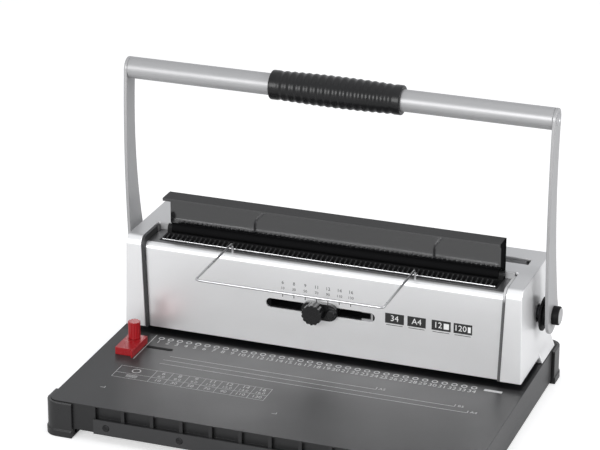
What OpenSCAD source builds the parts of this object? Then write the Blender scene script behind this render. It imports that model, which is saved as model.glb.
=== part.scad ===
// Desk punch and wire binding machine: a lever turns a shaft whose eccentrics drive a row of
// square punches through a die and close a jaw in the slot behind the comb.
// Millimetres, +Z up, front towards -Y, origin on the table under the middle of the base.

/* [Base] */
// Width of the base
base_w = 362; // [354:1:400]
// Depth of the base, front to back
base_d = 256; // [244:1:300]
// Height of the base's top face above the table
base_h = 31; // [29:0.5:40]
// Thickness of the base's walls and top
base_wall = 3; // [2:0.25:4]
// Radius of the base's corners
base_corner_r = 8; // [5:0.5:12]
// Height of the side walls' lower edge above the table
side_lift = 2; // [1.5:0.25:3]
// Height of the front wall's lower edge above the table
front_lift = 7.5; // [6:0.25:9]
// Number of grip recesses along the front
recess_count = 11; // [7:1:13]
// Distance from one grip recess to the next
recess_pitch = 25.5; // [20:0.5:26]
// Thickness of the web between two recesses
recess_web = 3; // [2:0.25:5]
// Height of a grip recess
recess_h = 11; // [8:0.5:12]
// Depth of a grip recess
recess_depth = 4; // [2:0.25:5]
// Thickness of the bottom sheet
bottom_t = 1.5; // [1:0.25:2.5]

/* [Feet and front strip] */
// Length of a corner foot along each wall
foot_l = 22; // [18:0.5:30]
// Thickness of a foot outside the wall
foot_t = 3; // [2:0.25:4]
// Extra reach of the foot's lower lip
foot_lip = 1; // [0.5:0.25:3]
// Height of the foot's lower lip
foot_lip_h = 6; // [4:0.5:9]
// Gap from the top of a foot up to the base's top face
foot_drop = 0.75; // [0.5:0.25:6]
// Height of the front strip
strip_h = 13; // [10:0.5:14]
// Thickness of the front strip
strip_t = 1.6; // [1:0.2:3]
// Number of screws in the front strip
strip_screw_count = 5; // [3:1:7]
// Distance from one strip screw to the next
strip_screw_pitch = 64.5; // [40:0.5:66]
// Diameter of a strip screw's head
strip_screw_d = 6; // [4:0.5:8]

/* [Housing] */
// Distance of the housing's foot from the base's side edge
housing_in = 4; // [4:0.25:8]
// Narrowing of each housing side from foot to top
housing_draft = 2.2; // [0:0.25:4]
// Depth of the housing
housing_d = 96; // [88:0.5:104]
// Height of the housing above the base
housing_h = 87.5; // [87:0.5:95]
// Thickness of the housing's walls
housing_wall = 2.5; // [1.5:0.25:3.5]
// Radius of the housing's front and rear top edges
housing_r = 8; // [5:0.5:12]
// Distance from the base's rear edge to the housing
rear_set = 10; // [2:0.5:14]
// Height of the paper throat
throat_h = 4.6; // [4.4:0.1:6]
// Depth of the paper throat at the housing's sides
throat_d = 56; // [53:0.5:58]
// Reach of the flared foot at the housing's rear corners
flare_t = 3.5; // [1:0.25:4]
// Height of that flared foot
flare_h = 16; // [8:0.5:24]

/* [Front panel] */
// Width of the housing's end cover beside the panel
cover_w = 18.4; // [17:0.2:20]
// Thickness of the panel's sheet
panel_t = 1.5; // [1:0.25:2]
// Set-back of the panel's face behind the housing's front
panel_set = 3.5; // [2.5:0.25:5]
// Drop of the panel's top below the housing's top
panel_drop = 6; // [4:0.25:7]
// Outer bend radius of the panel's top edge
panel_r = 5; // [3:0.25:8]
// Lean of the panel's edges, wider at the top, on each side
panel_lean = 2.6; // [0:0.2:3]
// Depth of the panel's top ledge
ledge_d = 10; // [9:0.25:11]
// Thickness of the dark trim beside the panel
trim_t = 2.2; // [1:0.1:2.6]

/* [Size selector] */
// Length of the slot in the panel
slot_l = 97; // [80:1:120]
// Width of the slot in the panel
slot_w = 8.3; // [7:0.25:11]
// Height of the slot's middle above the base
slot_z = 43.4; // [38:0.5:50]
// Slider's place along the slot
slider_x = 0.5; // [-20:0.5:20]
// Length of the slider's face
slider_l = 32; // [31:0.5:40]
// Height of the slider's face
slider_h = 15; // [10:0.5:16]
// Diameter of the clamp knob
selector_knob_d = 18; // [14:0.5:18.5]
// Length of the clamp knob
selector_knob_l = 9; // [8:0.5:16]
// Knob's place to the left of the slider's middle
selector_knob_x = 3.5; // [3.25:0.25:7]

/* [Handle] */
// Thickness of an arm
arm_t = 3; // [3:0.25:6]
// Radius of the arm's lower eye
arm_eye_r = 16; // [13:0.5:18]
// Forward bow of the arm's front edge
arm_front_bow = 4.5; // [2:0.5:8]
// Forward bow of the arm's rear edge
arm_rear_bow = 10; // [4:0.5:12]
// Height of the handle tube above the pivot
handle_h = 176.5; // [165:0.5:220]
// Distance of the handle tube in front of the pivot
handle_fwd = 10.5; // [4:0.5:16]
// Outer diameter of the handle tube
tube_d = 18.5; // [16:0.5:24]
// Wall thickness of the handle tube
tube_wall = 1.5; // [1:0.25:3]
// Length of the grip
grip_l = 114.5; // [90:0.5:160]
// Outer diameter of the grip at its ends
grip_d = 25; // [22:0.5:30]
// Extra radius of the grip at its middle
grip_swell = 1; // [0:0.25:2]
// Number of rings on the grip
grip_rings = 16; // [8:1:20]
// Depth of the grooves between the rings
grip_groove = 0.8; // [0.4:0.1:1]

/* [Pivot and drive] */
// Distance of the pivot behind the housing's front
pivot_in = 53; // [52:0.5:54]
// Height of the pivot above the base
pivot_h = 47.5; // [46.5:0.25:48.5]
// Diameter of the drive shaft
shaft_d = 12; // [10:0.5:12.5]
// Diameter of the pivot caps
cap_d = 16; // [14:0.5:22]
// Length of the pivot caps
cap_l = 6.5; // [5:0.5:10]
// Diameter of the spacer discs beside the housing
disc_d = 29; // [24:0.5:32]
// Thickness of the spacer discs
disc_t = 2; // [1.5:0.25:4]
// Length of the hub between disc and arm
hub_l = 4.1; // [3:0.1:8]
// Diameter of the hub between disc and arm
hub_d = 20; // [16:0.5:24]
// Outer diameter of the shaft bushes
bush_d = 18; // [16:0.5:20]
// Turn of the handle from upright to fully pulled, in degrees
pull_deg = 75; // [60:1:80]
// Stroke of the punches
punch_stroke = 7; // [6:0.25:7.25]
// Stroke of the closing jaw
jaw_stroke = 5; // [3:0.25:6]
// Thickness of an eccentric
cam_t = 7; // [5:0.5:9]
// Metal left outside the shaft on the thin side of an eccentric
cam_skin = 1.3; // [1:0.1:1.5]
// Distance of a punch eccentric from the pressure bar's end
cam_in = 22.5; // [18:0.5:26]
// Distance of a jaw eccentric from the punch eccentric
cam_step = 22; // [18:0.5:40]

/* [Punch] */
// Least distance from the last punch to the side frame
row_margin = 19.5; // [19:0.25:24]
// Distance from one punch to the next
pin_pitch = 8.467; // [8:0.001:8.5]
// Side of a square punch
pin_side = 4; // [3:0.25:5]
// Depth of the die and of the punch guide, front to back
die_d = 18; // [16:0.5:20]
// Thickness of the die
die_t = 8; // [6:0.5:8]
// Thickness of the punch guide
guide_t = 4.6; // [4:0.1:5]
// Height of the pressure bar
bar_h = 10; // [8:0.25:10]
// Depth of the pressure bar, front to back
bar_d = 10; // [8:0.5:12]
// Depth of the paper stop behind the punches
stop_d = 4; // [3:0.25:5]
// Diameter of the return springs
spring_d = 9; // [7:0.5:10]
// Diameter of the return springs' wire
spring_wire = 1.2; // [1:0.1:1.6]
// Number of coils in a return spring
spring_coils = 7; // [5:1:8]

/* [Comb and lid] */
// Distance of the comb tray's end from the panel's side edge
tray_in = 6; // [5:0.25:12]
// Depth of the comb tray, front to back
tray_d = 25; // [23:0.5:26]
// Depth of the tray below the panel's top
tray_depth = 12; // [8:0.25:13]
// Wall of the comb tray
tray_wall = 2; // [1.5:0.25:3]
// Height of the comb's teeth above the panel's top
tooth_h = 4.5; // [3:0.25:6]
// Width of a comb tooth
tooth_w = 3; // [2:0.25:5]
// Height of the lid's hinge above the panel's top
hinge_h = 4; // [3.5:0.25:8]
// Diameter of the lid's hinge rod
hinge_rod_d = 3; // [2:0.25:4]
// Height of the lid above its hinge
lid_h = 31.5; // [22:0.5:36]
// Depth of the lid's top flange
lid_flange = 16.5; // [14:0.5:24]
// Depth of the wall at the lid's right end
lid_gusset = 14; // [8:0.5:16]
// Thickness of the lid
lid_t = 2.6; // [2:0.2:3.4]

/* [Wire rack] */
// Distance between the rack's two legs
rack_w = 162; // [120:1:200]
// Diameter of the rack's wire
rack_wire = 2; // [1.6:0.1:3]
// Reach of the rack in front of its sockets
rack_reach = 83.5; // [60:0.5:100]
// Height of the rack's bends above the panel's top
rack_h = 8.5; // [6:0.5:16]
// Distance of the rack's sockets behind the panel's face
rack_in = 6; // [5:0.25:7]
// Rise of the rack from its bends to its front bar
rack_rise = 0; // [0:0.5:12]

/* [Wire closer] */
// Width of the closing slot in the housing's top
closer_w = 12; // [8:0.5:12]
// Distance of the closing slot's right end from the housing's side
closer_end = 13; // [12:0.5:24]
// Distance of the closing slot's left end from the housing's side
closer_end_left = 20.5; // [12:0.5:24]
// Distance of the closing slot behind the pivot
closer_in = 5; // [4.5:0.25:6]
// Thickness of the closing jaw
jaw_t = 4; // [3:0.25:4.5]

/* [Edge guide] */
// Width of the edge guide
guide_w = 15.5; // [14:0.5:20]
// Length of the edge guide, front to back
guide_l = 30; // [28:1:50]
// Height of the edge guide
guide_h = 6.5; // [5:0.25:9]
// Distance of the edge guide from the base's left edge
guide_in = 16.5; // [12:0.5:18]
// Distance of the guide's screw in front of the housing
guide_screw_y = 28; // [24:0.5:34]
// Thickness of the guide's fence
fence_t = 1.5; // [1:0.25:3]
// Reach of the fence in front of the guide
fence_over = 3; // [0:0.5:8]
// Diameter of the guide's knurled screw
guide_knob_d = 10.5; // [9:0.5:13]
// Height of the guide's knurled screw
guide_knob_h = 15; // [9:0.5:18]
// Travel of the edge guide along its slot
guide_travel = 33; // [20:1:40]

/* [Chip drawer] */
// Width of the chip drawer, front to back
drawer_d = 50; // [40:1:54]
// Distance of the chip drawer's inner end from the base's right edge
drawer_end = 32; // [24:1:60]
// Height of the chip drawer
drawer_h = 15; // [12:0.5:16]

/* [Clearances] */
// Running clearance of a pin or shaft in its hole, on the radius
run_gap = 0.05; // [0.03:0.01:0.09]
// Gap between flat pieces that slide on each other
slide_gap = 0.3; // [0.2:0.05:0.5]
// Gap between fixed covers
cover_gap = 0.2; // [0.1:0.05:0.4]

/* [Hidden] */
$fn = 64;
cut = 1;
silver = "silver";
black = "#303030";
steel = "#9a9a9a";

// Widths that follow the base
housing_w = base_w - 2 * housing_in;
cover_x = housing_w / 2 - cover_w;
trim_x = cover_x - cover_gap - trim_t;
panel_w = 2 * (trim_x - cover_gap);
tray_l = panel_w - 2 * tray_in;
drawer_l = base_w - drawer_end;
disc_gap = 2.4;

// Planes of the housing and of the pivot
housing_back = base_d / 2 - rear_set;
housing_front = housing_back - housing_d;
housing_top = base_h + housing_h;
throat_top = base_h + throat_h;
throat_back = housing_front + throat_d;
panel_y = housing_front + panel_set;
panel_top = housing_top - panel_drop;
lean = panel_lean / (panel_top - throat_top);
pivot_y = housing_front + pivot_in;
pivot_z = base_h + pivot_h;

// Side frames stand just inside the housing's end compartments
frame_t = 3;
frame_gap = 1;
frame_x = cover_x + frame_gap;
frame_reach_back = 31;
frame_reach_front = 19;
frame_rise = 21;
frame_back = pivot_y + frame_reach_back;
frame_front = pivot_y - frame_reach_front;
frame_top = pivot_z + frame_rise;
frame_foot = 9;

// Eccentrics: over the handle's turn the centre passes symmetrically through the line of motion
half_turn = pull_deg / 2;
punch_ecc = punch_stroke / (2 * sin(half_turn));
jaw_ecc = jaw_stroke / (2 * sin(half_turn));
punch_cam_r = shaft_d / 2 + punch_ecc + cam_skin;
jaw_cam_r = shaft_d / 2 + jaw_ecc + cam_skin;
punch_cam_y = pivot_y - punch_ecc * cos(half_turn);
punch_cam_z = pivot_z + punch_ecc * sin(half_turn);
jaw_cam_y = pivot_y - jaw_ecc * sin(half_turn);
jaw_cam_z = pivot_z - jaw_ecc * cos(half_turn);
cam_gap = 0.35;
yoke_rim = 2.5;

// Punch heights at rest
pin_count = 1 + floor(2 * (frame_x - row_margin) / pin_pitch);
pin_y = punch_cam_y;
guide_top = throat_top + guide_t;
tip_gap = 0.9;
pin_tip = throat_top + tip_gap;
bar_gap = 1.3;
bar_low = guide_top + punch_stroke + bar_gap;
bar_top = bar_low + bar_h;
bar_over = 5;
bar_half = (pin_count - 1) * pin_pitch / 2 + bar_over;
die_half = bar_half + bar_over;
punch_cam_x = bar_half - cam_in;
jaw_cam_x = punch_cam_x - cam_step;
ear_t = 4;
ear_gap = 1;
ear_low = pivot_z - shaft_d / 2 - ear_gap - ear_t;
spring_x = bar_half + spring_d / 2 + 3.5;
stop_gap = 3;
stop_y = pin_y + pin_side / 2 + stop_gap;

// Comb tray and hinge
tray_front = panel_y + ledge_d + cover_gap;
tray_back = tray_front + tray_d;
tray_low = panel_top - tray_depth;
hinge_y = tray_back - hinge_rod_d / 2 - 2;
hinge_z = panel_top + hinge_h;
knuckle_r = hinge_rod_d / 2 + 2;
lug_l = 4;

// Closing slot
closer_front = pivot_y + closer_in;
closer_back = closer_front + closer_w;
jaw_top = housing_top - housing_wall - slide_gap;
jaw_h = 16.2;
jaw_inset = 4;
jaw_low = jaw_top - jaw_h;
anvil_t = 3;
anvil_low = jaw_low - slide_gap - anvil_t;

// Handle tube and arms
tube_y = pivot_y - handle_fwd;
tube_z = pivot_z + handle_h;
arm_x = housing_w / 2 + disc_gap + disc_t + hub_l;
arm_out = arm_x + arm_t;

// Edge guide
guide_x = -base_w / 2 + guide_in;
guide_screw_x = guide_x + guide_w / 2;
screw_y = housing_front - guide_screw_y;
screw_stem_r = 2;
guide_front = screw_y - 0.78 * guide_l;

// Chip drawer, entering through the left wall
drawer_low = side_lift + bottom_t + slide_gap;
drawer_mid = pin_y;
drawer_left = -base_w / 2;

// Front strip and selector
strip_low = front_lift - 0.5;
slot_mid = base_h + slot_z;
stem_w = 7;
stem_h = 5;
stud_r = 2.5;
stud_l = 0.7 * selector_knob_l;

// Points along an arc in the plane of a profile
function arc(cy, cz, r, from, to, steps = 8) =
    [for (i = [0 : steps]) let (a = from + (to - from) * i / steps)
        [cy + r * cos(a), cz + r * sin(a)]];

// Points between two ends on an edge that bows by a given amount at its middle
function bow(a, b, amount, steps = 14) =
    [for (i = [0 : steps]) let (t = i / steps) a + (b - a) * t - [4 * amount * t * (1 - t), 0]];

// A profile drawn in the Y-Z plane, drawn out along X
module along_x(from, to) {
    translate([from, 0, 0]) rotate([90, 0, 90]) linear_extrude(to - from) children();
}

// A profile drawn in the X-Z plane, drawn out along Y
module along_y(from, to) {
    translate([0, to, 0]) rotate([90, 0, 0]) linear_extrude(to - from) children();
}

module x_rod(from, to, y, z, r) {
    translate([from, y, z]) rotate([0, 90, 0]) cylinder(h = to - from, r = r);
}

module block(low, high) {
    translate(low) cube(high - low);
}

module round_rect(w, d, r) {
    translate([r - w / 2, -d / 2]) square([w - 2 * r, d]);
    translate([-w / 2, r - d / 2]) square([w, d - 2 * r]);
    for (sx = [-1, 1], sy = [-1, 1]) translate([sx * (w / 2 - r), sy * (d / 2 - r)]) circle(r);
}

// Half-round ended slot, long way along the first axis
module slot_shape(l, w) {
    square([l - w, w], center = true);
    for (s = [-1, 1]) translate([s * (l - w) / 2, 0]) circle(w / 2);
}

// Housing seen from the side, drawn in by an inset
module housing_side(inset, low) {
    r = max(housing_r - inset, 0.5);
    front = housing_front + inset;
    back = housing_back - inset;
    top = housing_top - inset;
    polygon(concat(
        [[back, low], [front, low]],
        arc(front + r, top - r, r, 180, 90),
        arc(back - r, top - r, r, 90, 0)
    ));
}

// Panel seen from the side, drawn in by an inset
module panel_side(inset) {
    r = max(panel_r - inset, 0.5);
    front = panel_y + inset;
    top = panel_top - inset;
    back = panel_y + ledge_d;
    polygon(concat([[back, throat_top - cut], [front, throat_top - cut]],
        arc(front + r, top - r, r, 180, 90), [[back, top]]));
}

// Upright band seen from the front, its edges leaning out with the panel's
module leaning_view(left, right, left_lean, right_lean) {
    low = base_h - cut;
    high = housing_top + cut;
    drop = low - throat_top;
    rise = high - throat_top;
    polygon([[left + left_lean * drop, low], [right + right_lean * drop, low],
             [right + right_lean * rise, high], [left + left_lean * rise, high]]);
}

// Housing seen from the front, with its sides leaning in
module housing_front_view(inset) {
    foot = housing_w / 2 - inset;
    top = foot - housing_draft;
    low = base_h - cut;
    high = housing_top + cut;
    polygon([[-foot, low], [foot, low], [top, high], [-top, high]]);
}

module base_shell() color(black) {
    inner_w = base_w - 2 * base_wall;
    inner_d = base_d - 2 * base_wall;
    span = recess_count * recess_pitch;
    recess_half = (recess_pitch - recess_web) / 2;
    front = -base_d / 2;
    screw_slot = 2 * screw_stem_r + 2 * slide_gap;
    drawer_hole = drawer_d + 2 * slide_gap;
    difference() {
        translate([0, 0, side_lift]) linear_extrude(base_h - side_lift)
            round_rect(base_w, base_d, base_corner_r);
        difference() {
            translate([0, 0, side_lift - cut]) linear_extrude(base_h - base_wall - side_lift + cut)
                round_rect(inner_w, inner_d, base_corner_r - base_wall);
            // Thicker front wall behind the grip recesses
            block([-span / 2 - base_wall, front, front_lift],
                  [span / 2 + base_wall, front + base_wall + recess_depth, base_h]);
        }
        // Raised lower edge between the front feet
        block([foot_l - base_w / 2, front - cut, 0],
              [base_w / 2 - foot_l, front + 2 * base_wall + recess_depth, front_lift]);
        for (i = [0 : recess_count - 1])
            translate([(i - (recess_count - 1) / 2) * recess_pitch, front, base_h - recess_h - 0.8])
                block([-recess_half, -cut, 0], [recess_half, recess_depth, recess_h]);
        // Seat of the die
        block([-die_half - cover_gap, pin_y - die_d / 2 - cover_gap, base_h - base_wall - cut],
              [die_half + cover_gap, pin_y + die_d / 2 + cover_gap, base_h + cut]);
        // Slot of the edge guide's screw
        translate([guide_screw_x + guide_travel / 2, screw_y, base_h - base_wall - cut])
            linear_extrude(base_wall + 2 * cut)
                slot_shape(guide_travel + screw_slot, screw_slot);
        // Mouth of the chip drawer
        translate([-base_w / 2, drawer_mid, 0])
            block([-cut, -drawer_hole / 2, 0],
                  [base_wall + cut, drawer_hole / 2, drawer_low + drawer_h + slide_gap]);
        for (x = strip_screw_places())
            translate([x, front - cut, strip_low + strip_h / 2]) rotate([-90, 0, 0])
                cylinder(h = base_wall + recess_depth, d = strip_screw_d / 2);
    }
}

module bottom_sheet() color(steel) {
    gap = base_wall + cover_gap;
    front_gap = gap + base_wall + recess_depth;
    difference() {
        translate([0, 0, side_lift]) linear_extrude(bottom_t)
            round_rect(base_w - 2 * gap, base_d - 2 * gap, base_corner_r - base_wall);
        block([-base_w / 2, -base_d / 2, 0], [base_w / 2, front_gap - base_d / 2, base_h]);
    }
    // Runner rails on both sides of the drawer
    for (s = [-1, 1])
        translate([0, drawer_mid + s * (drawer_d / 2 + slide_gap + 1.5), side_lift + bottom_t])
            block([-base_w / 2 + 12, -1.5, 0], [base_w / 2 - 20, 1.5, 6]);
}

// A corner foot wraps the base's corner and carries its lower edge
module corner_foot(sx, sy) color(black) {
    reach = 2 * (foot_t + foot_lip);
    intersection() {
        difference() {
            union() {
                linear_extrude(base_h - foot_drop)
                    round_rect(base_w + 2 * foot_t, base_d + 2 * foot_t, base_corner_r + foot_t);
                linear_extrude(foot_lip_h)
                    round_rect(base_w + reach, base_d + reach, base_corner_r + reach / 2);
            }
            translate([0, 0, side_lift]) linear_extrude(base_h) round_rect(base_w, base_d, base_corner_r);
        }
        translate([sx * base_w / 2, sy * base_d / 2, 0])
            cube([2 * foot_l, 2 * foot_l, 3 * base_h], center = true);
    }
}

module foot_front_left() corner_foot(-1, -1);
module foot_front_right() corner_foot(1, -1);
module foot_rear_left() corner_foot(-1, 1);
module foot_rear_right() corner_foot(1, 1);

function strip_screw_places() =
    [for (i = [0 : strip_screw_count - 1]) (i - (strip_screw_count - 1) / 2) * strip_screw_pitch];

module front_strip() color(black) {
    half = recess_count * recess_pitch / 2;
    front = -base_d / 2;
    difference() {
        block([-half, front - strip_t, strip_low], [half, front, strip_low + strip_h]);
        for (x = strip_screw_places())
            translate([x, front - strip_t - cut, strip_low + strip_h / 2]) rotate([-90, 0, 0]) {
                cylinder(h = strip_t + 2 * cut, d = strip_screw_d / 2);
                cylinder(h = strip_t / 2 + cut, d = strip_screw_d);
            }
    }
}

// Low round-headed screws sunk in the strip
module strip_screws() color(black) {
    shank_r = strip_screw_d / 4 - run_gap;
    head_r = strip_screw_d / 2 - run_gap;
    front = -base_d / 2;
    difference() {
        for (x = strip_screw_places())
            translate([x, front - strip_t / 2, strip_low + strip_h / 2]) rotate([-90, 0, 0]) {
                cylinder(h = base_wall + strip_t / 2, r = shank_r);
                translate([0, 0, -strip_t / 2]) cylinder(h = strip_t / 2, r1 = head_r - 0.6, r2 = head_r);
            }
        for (x = strip_screw_places())
            translate([x, front - strip_t, strip_low + strip_h / 2]) {
                cube([strip_screw_d / 2, 0.8, 0.9], center = true);
                cube([0.9, 0.8, strip_screw_d / 2], center = true);
            }
    }
}

module housing() color(silver) {
    deck_front = tray_back + cover_gap;
    deck_low = housing_top - housing_wall;
    flare_in = housing_w / 2 - housing_wall;
    hole_r = shaft_d / 2 + 2;
    difference() {
        union() {
            intersection() {
                along_x(-housing_w, housing_w) housing_side(0, base_h);
                along_y(housing_front - cut, housing_back + cut) housing_front_view(0);
            }
            // Flared foot at each rear corner
            for (s = [-1, 1]) along_y(throat_back, housing_back)
                polygon([[s * flare_in, base_h], [s * (housing_w / 2 + flare_t), base_h],
                         [s * flare_in, base_h + flare_h]]);
        }
        intersection() {
            along_x(-housing_w, housing_w) housing_side(housing_wall, base_h - cut);
            along_y(housing_front, housing_back) housing_front_view(housing_wall);
        }
        // Bay of the panel, the ledge and the comb tray
        along_y(housing_front - cut, deck_front) leaning_view(-cover_x, cover_x, -lean, lean);
        // Paper throat through both ends
        block([-housing_w, housing_front - cut, base_h - cut], [housing_w, throat_back, throat_top]);
        // Closing slot
        block([closer_end_left - housing_w / 2, closer_front, deck_low - cut],
              [housing_w / 2 - closer_end, closer_back, housing_top + cut]);
        x_rod(-housing_w, housing_w, pivot_y, pivot_z, hole_r);
    }
}

module front_panel() color(silver) {
    socket_r = rack_wire / 2 + run_gap;
    wing_x = tray_l / 2 + cover_gap;
    edge_x = panel_w / 2 + panel_lean + cut;
    wing_front = panel_y + ledge_d - cut;
    wing_low = panel_top - panel_t;
    difference() {
        intersection() {
            union() {
                along_x(-edge_x, edge_x) difference() {
                    panel_side(0);
                    panel_side(panel_t);
                }
                // Wings beside the comb tray
                block([-edge_x, wing_front, wing_low], [-wing_x, tray_back, panel_top]);
                block([wing_x, wing_front, wing_low], [edge_x, tray_back, panel_top]);
            }
            along_y(panel_y - cut, tray_back + cut) leaning_view(-panel_w / 2, panel_w / 2, -lean, lean);
        }
        block([-panel_w, panel_y - cut, 0], [panel_w, panel_y + ledge_d + cut, throat_top]);
        translate([0, 0, slot_mid]) along_y(panel_y - cut, panel_y + panel_t + cut)
            slot_shape(slot_l, slot_w);
        for (s = [-1, 1]) translate([s * rack_w / 2, rack_y(), panel_top - panel_t - cut])
            cylinder(h = panel_t + 2 * cut, r = socket_r);
    }
}

// Small plate beside the comb tray, welded on the panel's wing, that closes the step up to the deck
module step_plate(s) color(silver) {
    inner = tray_l / 2 + cover_gap;
    outer = panel_w / 2 + panel_lean + cut;
    front = tray_back - panel_t;
    intersection() {
        block([s > 0 ? inner : -outer, front, panel_top], [s > 0 ? outer : -inner, tray_back, housing_top]);
        along_y(front - cut, tray_back + cut) leaning_view(-panel_w / 2, panel_w / 2, -lean, lean);
    }
}

module step_left() step_plate(-1);
module step_right() step_plate(1);

// Dark strip that lines the step between the housing and the panel
module side_trim(s) color(black) {
    lip = 0.4;
    back = 3;
    reach = 18;
    left = s > 0 ? trim_x : -trim_x - trim_t;
    intersection() {
        along_x(s > 0 ? 0 : -housing_w / 2, s > 0 ? housing_w / 2 : 0) intersection() {
            difference() {
                housing_side(lip, throat_top);
                translate([panel_y + back, 0]) square([housing_d, panel_top - back]);
            }
            square([tray_front + reach, housing_top]);
        }
        along_y(housing_front - cut, housing_back) leaning_view(left, left + trim_t, s * lean, s * lean);
    }
}

module trim_left() side_trim(-1);
module trim_right() side_trim(1);

// Steel plate that carries the shaft, with a foot bolted to the base
module side_frame(s) color(steel) {
    bush_r = bush_d / 2;
    inner = s > 0 ? frame_x : -frame_x - frame_t;
    foot_front = stop_y + stop_d + 4;
    difference() {
        union() {
            along_x(inner, inner + frame_t) polygon([
                [foot_front, base_h], [frame_back, base_h], [frame_back, frame_top - 14],
                [frame_back - 14, frame_top], [frame_front + 10, frame_top], [frame_front, frame_top - 10],
                [frame_front, throat_top], [foot_front, throat_top]
            ]);
            block([s > 0 ? frame_x : -frame_x - frame_foot, foot_front, base_h],
                  [s > 0 ? frame_x + frame_foot : -frame_x, frame_back, base_h + frame_t]);
        }
        x_rod(inner - cut, inner + frame_t + cut, pivot_y, pivot_z, bush_r);
        for (y = frame_bolt_places()) translate([s * frame_bolt_x(), y, base_h - cut])
            cylinder(h = frame_t + 2 * cut, r = frame_bolt_r() + run_gap);
    }
}

function frame_bolt_x() = frame_x + frame_t + (frame_foot - frame_t) / 2;
function frame_bolt_r() = 1.5;
function frame_bolt_places() = [frame_back - 18, frame_back - 6];

module frame_left() side_frame(-1);
module frame_right() side_frame(1);

module frame_bolts() color(steel) {
    head_r = 2.6;
    head_h = 2.4;
    for (s = [-1, 1], y = frame_bolt_places()) translate([s * frame_bolt_x(), y, base_h]) {
        cylinder(h = frame_t, r = frame_bolt_r());
        translate([0, 0, frame_t]) cylinder(h = head_h, r = head_r, $fn = 6);
    }
}

module shaft_bush(s) color("goldenrod") {
    inner = s > 0 ? frame_x : -frame_x - frame_t;
    flange = 1.5;
    difference() {
        union() {
            x_rod(inner, inner + frame_t, pivot_y, pivot_z, bush_d / 2);
            x_rod(s > 0 ? inner + frame_t : inner - flange, s > 0 ? inner + frame_t + flange : inner,
                  pivot_y, pivot_z, bush_d / 2 + 2);
        }
        x_rod(inner - flange - cut, inner + frame_t + flange + cut, pivot_y, pivot_z, shaft_d / 2 + run_gap);
    }
}

module bush_left() shaft_bush(-1);
module bush_right() shaft_bush(1);

function pin_places() = [for (i = [0 : pin_count - 1]) (i - (pin_count - 1) / 2) * pin_pitch];

// Square holes for the punches, through a plate between two heights
module pin_holes(low, high, gap) {
    side = pin_side / 2 + gap;
    for (x = pin_places()) block([x - side, pin_y - side, low - cut], [x + side, pin_y + side, high + cut]);
}

// Die, let into the base from below
module die_plate() color(steel) {
    flange = 3;
    plate_low = base_h - base_wall;
    difference() {
        union() {
            block([-die_half, pin_y - die_d / 2, base_h - die_t], [die_half, pin_y + die_d / 2, base_h]);
            block([-die_half - flange, pin_y - die_d / 2 - flange, base_h - die_t],
                  [die_half + flange, pin_y + die_d / 2 + flange, plate_low]);
        }
        pin_holes(base_h - die_t, base_h, 0.15);
    }
}

module punch_guide() color(steel) difference() {
    block([-frame_x, pin_y - die_d / 2, throat_top], [frame_x, stop_y + stop_d, guide_top]);
    pin_holes(throat_top, guide_top, 0.15);
}

module paper_stop() color(steel) {
    block([-die_half, stop_y, base_h], [die_half, stop_y + stop_d, throat_top]);
}

module comb_tray() color(black) {
    end_x = tray_l / 2;
    front_top = panel_top + 0.6;
    back_top = hinge_z - knuckle_r - slide_gap;
    rod_hole = hinge_rod_d / 2 + run_gap;
    difference() {
        union() {
            difference() {
                block([-end_x, tray_front, tray_low], [end_x, tray_back, back_top]);
                block([-end_x + tray_wall, tray_front + tray_wall, tray_low + tray_wall],
                      [end_x - tray_wall, hinge_y - knuckle_r, back_top + cut]);
                block([-end_x - cut, tray_front - cut, front_top],
                      [end_x + cut, hinge_y - knuckle_r, back_top + cut]);
            }
            // Lugs that hold the hinge rod's ends
            for (s = [-1, 1]) translate([s * (end_x - lug_l / 2) - lug_l / 2, 0, 0]) {
                along_x(0, lug_l) {
                    translate([hinge_y, hinge_z]) circle(knuckle_r - slide_gap);
                    translate([hinge_y - knuckle_r, back_top - cut])
                        square([2 * knuckle_r, hinge_z - back_top + cut]);
                }
            }
        }
        x_rod(-end_x - cut, end_x + cut, hinge_y, hinge_z, rod_hole);
    }
}

// Row of teeth that holds the loops of the binding wire
module wire_comb() color("#b8b8b8") {
    half = tray_l / 2 - tray_wall - cover_gap;
    back = tray_front + tray_wall;
    sheet = 1.2;
    low = tray_low + tray_wall;
    block([-half, back, low], [half, back + sheet, panel_top + 1]);
    for (i = [0 : pin_count]) translate([(i - pin_count / 2) * pin_pitch, 0, 0])
        block([-tooth_w / 2, back, panel_top], [tooth_w / 2, back + sheet, panel_top + tooth_h]);
}

module hinge_rod() color(steel) x_rod(-tray_l / 2, tray_l / 2, hinge_y, hinge_z, hinge_rod_d / 2);

module rack_sockets() color(black) {
    r = rack_wire / 2 + 2.5;
    depth = 8;
    for (s = [-1, 1]) difference() {
        intersection() {
            translate([s * rack_w / 2, rack_y(), panel_top - panel_t - depth]) cylinder(h = depth, r = r);
            along_x(-rack_w, rack_w) panel_side(panel_t);
        }
        translate([s * rack_w / 2, rack_y(), panel_top - panel_t - depth + 1])
            cylinder(h = depth, r = rack_wire / 2 + run_gap);
    }
}

module slot_plate() color(black) {
    sheet = 1.5;
    y = panel_y + panel_t;
    translate([0, 0, slot_mid]) along_y(y, y + sheet) difference() {
        square([slot_l + 10, slot_w + 9], center = true);
        square([slot_l - 8, stem_h + 2 * slide_gap], center = true);
    }
}

// Fixed back jaw and floor of the closing slot, between the side frames
module closer_anvil() color(steel) {
    block([-frame_x, closer_back, anvil_low], [frame_x, closer_back + anvil_t, jaw_top]);
}

module closer_floor() color(steel) {
    front = closer_front + jaw_stroke + 2.2;
    block([-frame_x, front, anvil_low], [frame_x, closer_back, anvil_low + anvil_t]);
}

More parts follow.
